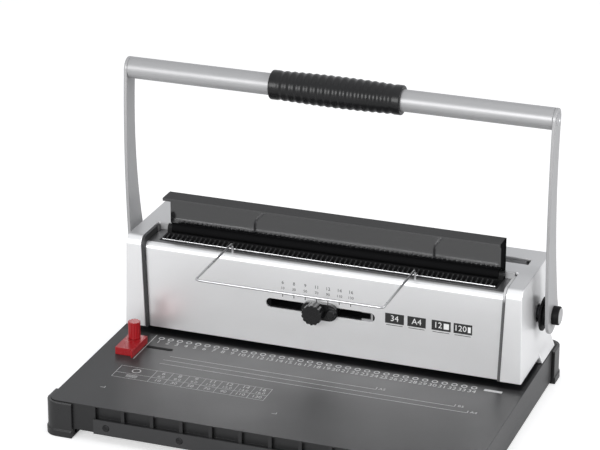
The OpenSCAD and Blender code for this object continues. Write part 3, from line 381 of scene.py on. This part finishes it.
# Back screws: pan-headed screws with a cross recess that hold the housing's back wall to the frames.
# One head is modelled and set along a row by nodes; the row is then one plain mesh.
screw_zinc = grained("zinc_screw", (0.55, 0.55, 0.56), 0.3, metal=1.0, grain=1500.0, depth=0.04)


def pan_head(radius, height):
    """A domed screw head with a cross recess, its seat on the local XY plane, facing +Z."""
    shape = bmesh.new()
    rings = []
    sides, tiers, crown_share = 20, 4, 0.58
    for tier in range(tiers + 1):
        angle = math.radians(90 * tier / tiers)
        ring_r = radius * (crown_share + (1 - crown_share) * math.cos(angle))
        ring_z = height * math.sin(angle)
        rings.append([shape.verts.new((ring_r * math.cos(turn), ring_r * math.sin(turn), ring_z))
                      for turn in (math.tau * i / sides for i in range(sides))])
    for low, high in zip(rings, rings[1:]):
        for i in range(sides):
            shape.faces.new((low[i], low[(i + 1) % sides], high[(i + 1) % sides], high[i]))
    shape.faces.new(rings[-1])
    shape.faces.new(list(reversed(rings[0])))
    mesh = bpy.data.meshes.new("pan_head")
    shape.to_mesh(mesh)
    shape.free()
    head = bpy.data.objects.new("pan_head", mesh)
    bpy.context.scene.collection.objects.link(head)
    arm, half = radius * 0.55, radius * 0.12
    corners = ((arm, -half), (arm, half), (half, half), (half, arm), (-half, arm), (-half, half),
               (-arm, half), (-arm, -half), (-half, -half), (-half, -arm), (half, -arm), (half, -half))
    cross = bmesh.new()
    floor_ring = [cross.verts.new((x, y, height * 0.5)) for x, y in corners]
    upper_ring = [cross.verts.new((x, y, height * 1.5)) for x, y in corners]
    cross.faces.new(upper_ring)
    cross.faces.new(list(reversed(floor_ring)))
    for i in range(len(corners)):
        j = (i + 1) % len(corners)
        cross.faces.new((floor_ring[i], floor_ring[j], upper_ring[j], upper_ring[i]))
    cutter_mesh = bpy.data.meshes.new("cross_cutter")
    cross.to_mesh(cutter_mesh)
    cross.free()
    cutter = bpy.data.objects.new("cross_cutter", cutter_mesh)
    bpy.context.scene.collection.objects.link(cutter)
    recess = head.modifiers.new("cross_recess", "BOOLEAN")
    recess.object = cutter
    recess.operation = "DIFFERENCE"
    bpy.context.view_layer.update()
    done = baked(head)
    bpy.data.objects.remove(cutter)
    return done


def set_in_row(name, unit_mesh, count, start, step, turn, finish):
    """Repeats a small mesh along a straight row with Geometry Nodes and gives the row back as one mesh."""
    unit = bpy.data.objects.new(name + "_unit", unit_mesh)
    bpy.context.scene.collection.objects.link(unit)
    tree = bpy.data.node_groups.new(name + "_row", "GeometryNodeTree")
    sockets = {}
    for label, kind in (("Unit", "NodeSocketObject"), ("Count", "NodeSocketInt"),
                        ("Start", "NodeSocketVector"), ("Step", "NodeSocketVector"),
                        ("Turn", "NodeSocketVector"), ("Finish", "NodeSocketMaterial")):
        sockets[label] = tree.interface.new_socket(label, in_out="INPUT", socket_type=kind).identifier
    tree.interface.new_socket("Row", in_out="OUTPUT", socket_type="NodeSocketGeometry")
    given = tree.nodes.new("NodeGroupInput")
    result = tree.nodes.new("NodeGroupOutput")
    line = tree.nodes.new("GeometryNodeMeshLine")
    line.mode = "OFFSET"
    info = tree.nodes.new("GeometryNodeObjectInfo")
    place = tree.nodes.new("GeometryNodeInstanceOnPoints")
    real = tree.nodes.new("GeometryNodeRealizeInstances")
    coat = tree.nodes.new("GeometryNodeSetMaterial")
    joins = tree.links
    joins.new(given.outputs["Unit"], info.inputs["Object"])
    joins.new(given.outputs["Count"], line.inputs["Count"])
    joins.new(given.outputs["Start"], line.inputs["Start Location"])
    joins.new(given.outputs["Step"], line.inputs["Offset"])
    joins.new(given.outputs["Turn"], place.inputs["Rotation"])
    joins.new(line.outputs["Mesh"], place.inputs["Points"])
    joins.new(info.outputs["Geometry"], place.inputs["Instance"])
    joins.new(place.outputs["Instances"], real.inputs["Geometry"])
    joins.new(real.outputs["Geometry"], coat.inputs["Geometry"])
    joins.new(given.outputs["Finish"], coat.inputs["Material"])
    joins.new(coat.outputs["Geometry"], result.inputs["Row"])
    holder = bpy.data.objects.new(name + "_holder", bpy.data.meshes.new(name + "_holder"))
    bpy.context.scene.collection.objects.link(holder)
    layout = holder.modifiers.new("row", "NODES")
    layout.node_group = tree
    for label, value in (("Unit", unit), ("Count", count), ("Start", start), ("Step", step), ("Turn", turn),
                         ("Finish", finish)):
        layout[sockets[label]] = value
    bpy.context.view_layer.update()
    mesh = baked(holder)
    bpy.data.objects.remove(unit)
    return mesh


head_r, head_crease = 0.0031, math.radians(40)
row_start = -0.150
back_height, back_pitch, back_z, back_sunk = 0.0018, 0.100, 0.0395, 0.0002
back_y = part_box("housing")[1][1]
back_row = set_in_row("back_screw", pan_head(head_r, back_height), 4, (row_start, back_y - back_sunk, back_z),
                      (back_pitch, 0, 0), (-math.pi / 2, 0, 0), screw_zinc)
back_row.shade_smooth()
back_row.set_sharp_from_angle(angle=head_crease)
keep_piece("back_screws", back_row, "machine", "steel", screw_zinc)

# Underside screws: two rows of the same zinc-plated heads, a little flatter.
# They hold the bottom sheet to the base moulding.
sheet_low, sheet_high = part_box("bottom_sheet")
under_height, under_pitch, under_sunk = 0.0015, 0.075, 0.0001
sheet_edge = 0.012
under = bmesh.new()
for row_y in (sheet_low[1] + sheet_edge, sheet_high[1] - sheet_edge):
    row = set_in_row("sheet_screw", pan_head(head_r, under_height), 5,
                     (row_start, row_y, sheet_low[2] + under_sunk), (under_pitch, 0, 0), (math.pi, 0, 0),
                     screw_zinc)
    under.from_mesh(row)
    bpy.data.meshes.remove(row)
under_mesh = bpy.data.meshes.new("sheet_screws")
under.to_mesh(under_mesh)
under.free()
under_mesh.shade_smooth()
under_mesh.set_sharp_from_angle(angle=head_crease)
keep_piece("sheet_screws", under_mesh, "machine", "steel", screw_zinc)

# Selector: black slot plate behind the panel, a slider in the slot and a fluted clamp knob on it.
# All are moulded plastic; the plate's right end is left bare metal, and the knob screws the slider fast.
bare_from, bare_to = 0.0365, 0.0463
run_in = 0.0002
knob_black = grained("knob_plastic", (0.0075, 0.0075, 0.008), 0.28, grain=1000.0, depth=0.05, shine=0.4)
slot_black = grained("slot_plastic", (0.0025, 0.0025, 0.003), 0.6, grain=900.0, depth=0.06, shine=0.08)
second_tone(slot_black, (0.30, 0.30, 0.305), ("X", bare_from - run_in, bare_from),
            ("X", bare_to + run_in, bare_to))
broken_edges("slot_plate", "machine", "black_plastic", slot_black, 0.00015, 1)
broken_edges("selector_slider", "selector", "black_plastic", knob_black, 0.0006)
broken_edges("selector_knob", "selector_knob", "black_plastic", knob_black, 0.0005)

# Printing on the panel: a scale of numbers with a tick under each over the slot, and four black tiles
# with white figures, all screen printed a few hundredths of a millimetre thick.
ink_black = grained("black_ink", (0.014, 0.014, 0.014), 0.5, grain=1800.0, depth=0.02)
ink_white = grained("white_ink", (0.78, 0.78, 0.78), 0.55, grain=1800.0, depth=0.02)
ink_lift, figure_share = 0.00005, 0.7
wire_sizes = (6, 8, 9, 11, 12, 14, 16)
sheet_counts = (10, 30, 50, 70, 90, 110, 130)


def figures(shape, words, height, place, upright):
    """Adds printed figures to a mesh, centred on a place, lying on the base or standing on the panel."""
    curve = bpy.data.curves.new("figures", "FONT")
    curve.body = words
    curve.size = height / figure_share
    curve.align_x = "CENTER"
    curve.align_y = "CENTER"
    curve.resolution_u = 2
    holder = bpy.data.objects.new("figures", curve)
    bpy.context.scene.collection.objects.link(holder)
    bpy.context.view_layer.update()
    mesh = bpy.data.meshes.new_from_object(holder.evaluated_get(bpy.context.evaluated_depsgraph_get()))
    bpy.data.objects.remove(holder)
    stand = Matrix.Rotation(math.pi / 2, 4, "X") if upright else Matrix.Identity(4)
    mesh.transform(Matrix.Translation(place) @ stand)
    shape.from_mesh(mesh)
    bpy.data.meshes.remove(mesh)


def bar(shape, x0, x1, v0, v1, level, upright):
    """Adds a printed bar between two corners, on the base or on the panel."""
    if upright:
        corners = [(x0, level, v0), (x1, level, v0), (x1, level, v1), (x0, level, v1)]
    else:
        corners = [(x0, v0, level), (x1, v0, level), (x1, v1, level), (x0, v1, level)]
    shape.faces.new([shape.verts.new(corner) for corner in corners])


ink_y = panel_face - ink_lift
white_y = ink_y - 0.00004
scale_start, scale_step = -0.0335, 0.0101
size_z, size_height = 0.0945, 0.0030
count_z, count_height = 0.0894, 0.0024
tick_low, tick_high, tick_half = 0.0815, 0.0862, 0.00035
tile_low, tile_high, tile_height = 0.0720, 0.0810, 0.0052
rule_low, rule_high, rule_inset = 0.0702, 0.0707, 0.001
scale_print = bmesh.new()
for i, (size, sheets) in enumerate(zip(wire_sizes, sheet_counts)):
    x = scale_start + i * scale_step
    figures(scale_print, str(size), size_height, (x, ink_y, size_z), True)
    figures(scale_print, str(sheets), count_height, (x, ink_y, count_z), True)
    bar(scale_print, x - tick_half, x + tick_half, tick_low, tick_high, ink_y, True)
for x0, x1 in ((0.0575, 0.0740), (0.0770, 0.0930), (0.0980, 0.1145), (0.1170, 0.1330)):
    bar(scale_print, x0, x1, tile_low, tile_high, ink_y, True)
    bar(scale_print, x0 + rule_inset, x1 - rule_inset, rule_low, rule_high, ink_y, True)
scale_mesh = bpy.data.meshes.new("scale_print")
scale_print.to_mesh(scale_mesh)
scale_print.free()
keep_piece("scale_print", scale_mesh, "machine", "black_plastic", ink_black)

block_low, block_high = 0.0738, 0.0790
tile_print = bmesh.new()
for words, x in (("34", 0.06575), ("A4", 0.0850), ("12", 0.1035), ("120", 0.1228)):
    figures(tile_print, words, tile_height, (x, white_y, (tile_low + tile_high) / 2), True)
for x0, x1 in ((0.1085, 0.1130), (0.1293, 0.1318)):
    bar(tile_print, x0, x1, block_low, block_high, white_y, True)
tile_mesh = bpy.data.meshes.new("tile_print")
tile_print.to_mesh(tile_mesh)
tile_print.free()
keep_piece("tile_print", tile_mesh, "machine", "base_black", ink_white)

# Printing on the paper table: a ring and a number for each punched hole along the throat,
# the lines that sheets are laid to, and a small table of numbers, in white ink.
ink_z = table_z + ink_lift
crossed_z = ink_z + 0.00001
hole_count, hole_pitch = 34, 0.008467
line_half, grid_half = 0.0003, 0.0002
table_print = bmesh.new()


def ring(shape, x, y, radius, stroke, level):
    """Adds a printed ring, the sign for one punched hole."""
    sides = 20
    turns = [math.tau * k / sides for k in range(sides)]
    outer, inner = ([shape.verts.new((x + r * math.cos(t), y + r * math.sin(t), level)) for t in turns]
                    for r in (radius, radius - stroke))
    for k in range(sides):
        shape.faces.new((outer[k], outer[(k + 1) % sides], inner[(k + 1) % sides], inner[k]))


ring_y, ring_r, ring_stroke = panel_face - 0.0124, 0.0027, 0.0010
number_y, number_height = panel_face - 0.0196, 0.0052
for i in range(hole_count):
    x = (i - (hole_count - 1) / 2) * hole_pitch
    ring(table_print, x, ring_y, ring_r, ring_stroke, ink_z)
    figures(table_print, str(i + 1), number_height, (x, number_y, ink_z), False)
line_end, name_height, name_gap = 0.0040, 0.0036, 0.0050
for ahead, x0, x1, name in ((0.0435, -0.119, 0.0645, "A5"), (0.0515, -0.122, 0.1345, "B5"),
                            (0.0591, -0.122, 0.1475, "A4")):
    y = panel_face - ahead
    bar(table_print, x0, x1, y - line_half, y + line_half, ink_z, False)
    bar(table_print, x1 - line_half, x1 + line_half, y, y + line_end, crossed_z, False)
    figures(table_print, name, name_height, (x1 + name_gap, y + name_height / 2, ink_z), False)
bar(table_print, 0.1484, 0.1638, panel_face - 0.0150, panel_face - 0.0115, ink_z, False)
bar(table_print, -0.1466, -0.1460, panel_face - 0.058, panel_face - 0.007, ink_z, False)
grid_left, column_start, column_width = -0.150, -0.1178, 0.01468
grid_x = [grid_left] + [column_start + column_width * i for i in range(len(wire_sizes) + 1)]
grid_y = [panel_face - ahead for ahead in (0.0735, 0.0865, 0.0955)]
for x in grid_x:
    bar(table_print, x - grid_half, x + grid_half, grid_y[2], grid_y[0], ink_z, False)
for y in grid_y:
    bar(table_print, grid_x[0] - grid_half, grid_x[-1] + grid_half, y - grid_half, y + grid_half,
        crossed_z, False)
large_y, small_y, middle_y = grid_y[0] - 0.0037, grid_y[0] - 0.0097, (grid_y[1] + grid_y[2]) / 2
for i, (size, sheets) in enumerate(zip(wire_sizes, sheet_counts)):
    x = (grid_x[i + 1] + grid_x[i + 2]) / 2
    figures(table_print, str(size), 0.0048, (x, large_y, ink_z), False)
    figures(table_print, str(size) + ".0", 0.0036, (x, small_y, ink_z), False)
    figures(table_print, str(sheets), 0.0042, (x, middle_y, ink_z), False)
mark_half, mark_rise = 0.002, 0.0025
for x, y in ((-0.148, -0.0924), (0.0018, -0.0896)):
    bar(table_print, x - mark_half, x + mark_half, y - line_half, y + line_half, ink_z, False)
    bar(table_print, x + mark_half - 2 * line_half, x + mark_half, y, y + mark_rise, crossed_z, False)
head_x, rule_half, rule_pitch, rule_width = -0.134, 0.005, 0.0013, 0.0005
ring(table_print, head_x, (grid_y[0] + grid_y[1]) / 2, 0.0040, 0.0009, ink_z)
for k in range(4):
    rule_y = grid_y[1] - 0.0025 - rule_pitch * k
    bar(table_print, head_x - rule_half, head_x + rule_half, rule_y, rule_y + rule_width, ink_z, False)
table_mesh = bpy.data.meshes.new("table_print")
table_print.to_mesh(table_mesh)
table_print.free()
grey_ink = grained("worn_white_ink", (0.50, 0.50, 0.50), 0.6, grain=1600.0, depth=0.02, fleck=0.25,
                   blotch=400.0)
keep_piece("table_print", table_mesh, "machine", "base_black", grey_ink)

# Comb channel: black moulded trough let into the top, with the hinge lugs of the lid at its ends.
# Two sockets for the wire rack are pressed into the ledge in front of it, in the same plastic.
trough_black = grained("trough_plastic", (0.008, 0.008, 0.0085), 0.6, grain=900.0, depth=0.06, shine=0.2)
broken_edges("comb_tray", "machine", "black_plastic", trough_black, 0.0003)
coated(trough_black, "rack_sockets")

# Comb: a strip of steel, bright in front and dark behind, with hooked teeth that hold the wire's loops open.
# One tooth of oiled steel is bent back with a turned-up tip, and nodes set it along, two to a hole.
comb_bright = grained("bright_comb", (0.62, 0.62, 0.63), 0.3, metal=0.9, grain=1400.0, depth=0.04)
comb_low, comb_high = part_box("wire_comb")
comb_mid = (comb_low[1] + comb_high[1]) / 2
second_tone(comb_bright, (0.02, 0.02, 0.021), ("Y", comb_mid - 5e-5, comb_mid + 5e-5), shine=0.1)
tooth_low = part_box("front_panel")[1][2] - 0.0005
tooth = bmesh.new()
half_w, strip_lap, strip_round = 0.0005, 0.0015, 0.00025
spine = [(-0.0005, 0.0), (-0.0005, 0.0022), (0.0003, 0.0031), (0.0042, 0.0034), (0.0056, 0.0044)]
skin = [(0.0005, 0.0), (0.0005, 0.0016), (0.0011, 0.0021), (0.0046, 0.0024), (0.0062, 0.0038)]
outline = spine + list(reversed(skin))
left = [tooth.verts.new((-half_w, y, z)) for y, z in outline]
right = [tooth.verts.new((half_w, y, z)) for y, z in outline]
for k in range(len(spine) - 1):
    j = len(outline) - 1 - k
    tooth.faces.new((left[k], left[k + 1], left[j - 1], left[j]))
    tooth.faces.new((right[j], right[j - 1], right[k + 1], right[k]))
for k in range(len(outline)):
    tooth.faces.new((left[k], right[k], right[(k + 1) % len(outline)], left[(k + 1) % len(outline)]))
bmesh.ops.recalc_face_normals(tooth, faces=tooth.faces)
tooth_mesh = bpy.data.meshes.new("comb_tooth")
tooth.to_mesh(tooth_mesh)
tooth.free()
comb_dark = grained("oiled_comb", (0.045, 0.045, 0.047), 0.4, metal=0.8, grain=1400.0, depth=0.04)
comb_row = set_in_row("comb", tooth_mesh, 2 * hole_count + 1,
                      (-hole_count / 2 * hole_pitch, comb_mid, tooth_low),
                      (hole_pitch / 2, 0, 0), (0, 0, 0), comb_dark)
keep_piece("comb_teeth", comb_row, "machine", "steel", comb_dark)
strip_top = tooth_low + strip_lap
strip = bmesh.new()
bmesh.ops.create_cube(strip, size=1.0, matrix=Matrix.Translation(
    (0, comb_mid, (comb_low[2] + strip_top) / 2)) @ Matrix.Diagonal(
    (comb_high[0] - comb_low[0], comb_high[1] - comb_low[1], strip_top - comb_low[2], 1)))
long_edges = [e for e in strip.edges if abs(e.verts[0].co.x - e.verts[1].co.x) > 0.01]
bmesh.ops.bevel(strip, geom=long_edges, offset=strip_round, segments=2, profile=0.5, affect="EDGES")
strip_mesh = bpy.data.meshes.new("comb_strip")
strip.to_mesh(strip_mesh)
strip.free()
keep_piece("comb_strip", strip_mesh, "machine", "steel", comb_bright, "wire_comb")

# Lid: a long flap of polished black plastic on a steel rod, with a stiff flange along its top edge.
# Its face mirrors the channel and the room; the flange's top, the barrel and the right end wall are dull, and
# the flange's top is painted grey as a painted reflection of the bright room.
lid_gloss = grained("polished_lid", (0.005, 0.005, 0.0055), 0.10, grain=900.0, depth=0.0, fleck=0.05,
                    blotch=7.0, gloss_spread=0.02)
lid_gloss.node_tree.nodes["Principled BSDF"].inputs["IOR"].default_value = 1.9
lid_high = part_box("lid")[1]
lid_end, lid_top = lid_high[0], lid_high[2]
flange_z, wall_x, barrel_z = lid_top - 0.0006, lid_end - 0.0005, lid_top - 0.0279
# Painted reflection: the flange's top is painted grey, with no shine, for the bright room it would mirror.
second_tone(lid_gloss, (0.082, 0.082, 0.083), ("Z", flange_z - run_in, flange_z), shine=0.0)
second_tone(lid_gloss, (0.010, 0.010, 0.0105), ("X", wall_x - run_in, wall_x), shine=0.0)
second_tone(lid_gloss, (0.009, 0.009, 0.0095), ("Z", barrel_z + run_in, barrel_z), shine=0.0)
broken_edges("lid", "lid", "black_gloss", lid_gloss, 0.0005)

# Wire rack: one length of bright plated steel wire, bent to a wide loop that holds finished work.
# Both of its ends drop into sockets in the ledge, so it lifts straight out.
wire_bright = grained("plated_wire", (0.50, 0.50, 0.51), 0.30, metal=1.0, grain=1200.0, depth=0.02,
                      fleck=0.03)
rack_low, rack_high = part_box("wire_rack")
wire_r, wire_bend = 0.0010, 0.0035
leg_x = rack_high[0] - wire_r
leg_y = rack_high[1] - wire_r
bar_y = rack_low[1] + wire_r
arm_z = rack_high[2] - wire_r
corners = [Vector((-leg_x, leg_y, rack_low[2])), Vector((-leg_x, leg_y, arm_z)),
           Vector((-leg_x, bar_y, arm_z)), Vector((leg_x, bar_y, arm_z)),
           Vector((leg_x, leg_y, arm_z)), Vector((leg_x, leg_y, rack_low[2]))]


def bent_path(corners, bend, steps=8):
    """A path through the corners with each one rounded to a bend radius, as a wire bender leaves it."""
    path = [corners[0]]
    for before, here, after in zip(corners, corners[1:], corners[2:]):
        come = (before - here).normalized()
        go = (after - here).normalized()
        half = come.angle(go) / 2
        run = bend / math.tan(half)
        middle = here + (come + go).normalized() * (bend / math.sin(half))
        first = here + come * run - middle
        axis = first.cross(here + go * run - middle).normalized()
        sweep = math.pi - 2 * half
        path += [middle + Matrix.Rotation(sweep * i / steps, 3, axis) @ first for i in range(steps + 1)]
    return path + [corners[-1]]


def drawn_wire(path, radius, sides=14):
    """A closed round wire along a path, its cross-section carried on without twist."""
    shape = bmesh.new()
    rings = []
    across = None
    for i, point in enumerate(path):
        ahead = (path[min(i + 1, len(path) - 1)] - path[max(i - 1, 0)]).normalized()
        if across is None:
            across = ahead.orthogonal().normalized()
        across = (across - ahead * across.dot(ahead)).normalized()
        over = ahead.cross(across)
        rings.append([shape.verts.new(point + (across * math.cos(math.tau * k / sides) + over * math.sin(
            math.tau * k / sides)) * radius) for k in range(sides)])
    for low, high in zip(rings, rings[1:]):
        for k in range(sides):
            shape.faces.new((low[k], low[(k + 1) % sides], high[(k + 1) % sides], high[k]))
    shape.faces.new(list(reversed(rings[0])))
    shape.faces.new(rings[-1])
    mesh = bpy.data.meshes.new("drawn_wire")
    shape.to_mesh(mesh)
    shape.free()
    mesh.shade_smooth()
    mesh.set_sharp_from_angle(angle=math.radians(50))
    return mesh


rack_mesh = drawn_wire(bent_path(corners, wire_bend), wire_r)
keep_piece("wire_rack_shown", rack_mesh, "rack", "bright_wire", wire_bright, "wire_rack")

# Arms and handle tube: two bowed arms cut from flat steel and a round steel tube between their top eyes.
# The arms sit fast on the shaft's ends, and the whole lever is sprayed in grey lacquer.
grey_lacquer = grained("grey_lacquer", (0.36, 0.36, 0.365), 0.40, metal=0.3, grain=2200.0, depth=0.04,
                       fleck=0.05, blotch=8.0)
for side in ("left", "right"):
    broken_edges("arm_" + side, "handle", "grey_paint", grey_lacquer, 0.0006)
broken_edges("handle_tube", "handle", "grey_paint", grey_lacquer, 0.0004)

# Tube rivets: bright steel heads on the outside of both arms, with a shallow hollow in the middle.
# They are the tube's own ends, drawn through the arms and turned over.
tube_low, tube_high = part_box("handle_tube")
tube_y, tube_z = (tube_low[1] + tube_high[1]) / 2, (tube_low[2] + tube_high[2]) / 2
arm_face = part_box("arm_right")[1][0]
rivet_sides = 28
rivet_steps = ((0.0056, -0.0002), (0.0056, 0.0003), (0.0051, 0.0006), (0.0030, 0.0006), (0.0026, 0.0003))
rivets = bmesh.new()
for side in (-1, 1):
    rings = []
    for radius, rise in rivet_steps:
        rings.append([rivets.verts.new((side * (arm_face + rise), tube_y + radius * math.cos(turn),
                                        tube_z + radius * math.sin(turn)))
                      for turn in (math.tau * k / rivet_sides for k in range(rivet_sides))])
    for low, high in zip(rings, rings[1:]):
        for k in range(rivet_sides):
            j = (k + 1) % rivet_sides
            rivets.faces.new((low[k], low[j], high[j], high[k]))
    rivets.faces.new(rings[-1])
    rivets.faces.new(rings[0])
bmesh.ops.recalc_face_normals(rivets, faces=rivets.faces)
rivet_mesh = bpy.data.meshes.new("tube_rivets")
rivets.to_mesh(rivet_mesh)
rivets.free()
rivet_mesh.shade_smooth()
rivet_mesh.set_sharp_from_angle(angle=math.radians(35))
keep_piece("tube_rivets", rivet_mesh, "handle", "steel", screw_zinc)

# Grip: a soft sleeve of black rubber with rounded rings and a slight swell.
# It is moulded in one piece and pushed on to the middle of the tube.
grip_rubber = grained("grip_rubber", (0.008, 0.008, 0.0085), 0.26, grain=1500.0, depth=0.08, fleck=0.2,
                      blotch=40.0, shine=0.28)
broken_edges("grip", "handle", "grip_rubber", grip_rubber, 0.0002, 1)

# Pivot: discs with hubs of black plastic beside the housing, and caps pressed over the shaft's ends.
# The caps are black too, with a shinier end face painted pale as a painted reflection of the bright room.
pivot_black = grained("pivot_plastic", (0.008, 0.008, 0.0085), 0.5, grain=900.0, depth=0.06, shine=0.12)
cap_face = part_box("cap_right")[1][0] - 0.0001
for side in (1, -1):
    # Painted reflection: each cap's end face is painted pale.
    second_tone(pivot_black, (0.36, 0.36, 0.365),
                ("X", side * (cap_face - run_in), side * cap_face), shine=0.5)
for side in ("left", "right"):
    broken_edges("disc_" + side, "handle", "black_plastic", pivot_black, 0.0005)
    broken_edges("cap_" + side, "handle", "black_plastic", pivot_black, 0.0004)

# Edge guide: a block of red moulded plastic with a thin fence that the sheets are pushed against.
# A knurled screw of the same plastic clamps it in a slot of the base.
guide_red = grained("red_plastic", (0.31, 0.006, 0.010), 0.3, grain=900.0, depth=0.04, fleck=0.08,
                    blotch=60.0)
broken_edges("edge_guide", "edge_guide", "red_plastic", guide_red, 0.0009)
broken_edges("guide_fence", "edge_guide", "red_plastic", guide_red, 0.0002, 1)
broken_edges("guide_screw", "guide_screw", "red_plastic", guide_red, 0.0003)

# Chip drawer: an open tray of black moulded plastic that catches the punched chips.
# It slides into the base through the left wall, and has a finger hollow in its end.
drawer_black = grained("drawer_plastic", (0.030, 0.030, 0.031), 0.45, grain=1200.0, depth=0.1)
broken_edges("chip_drawer", "drawer", "black_plastic", drawer_black, 0.0005)
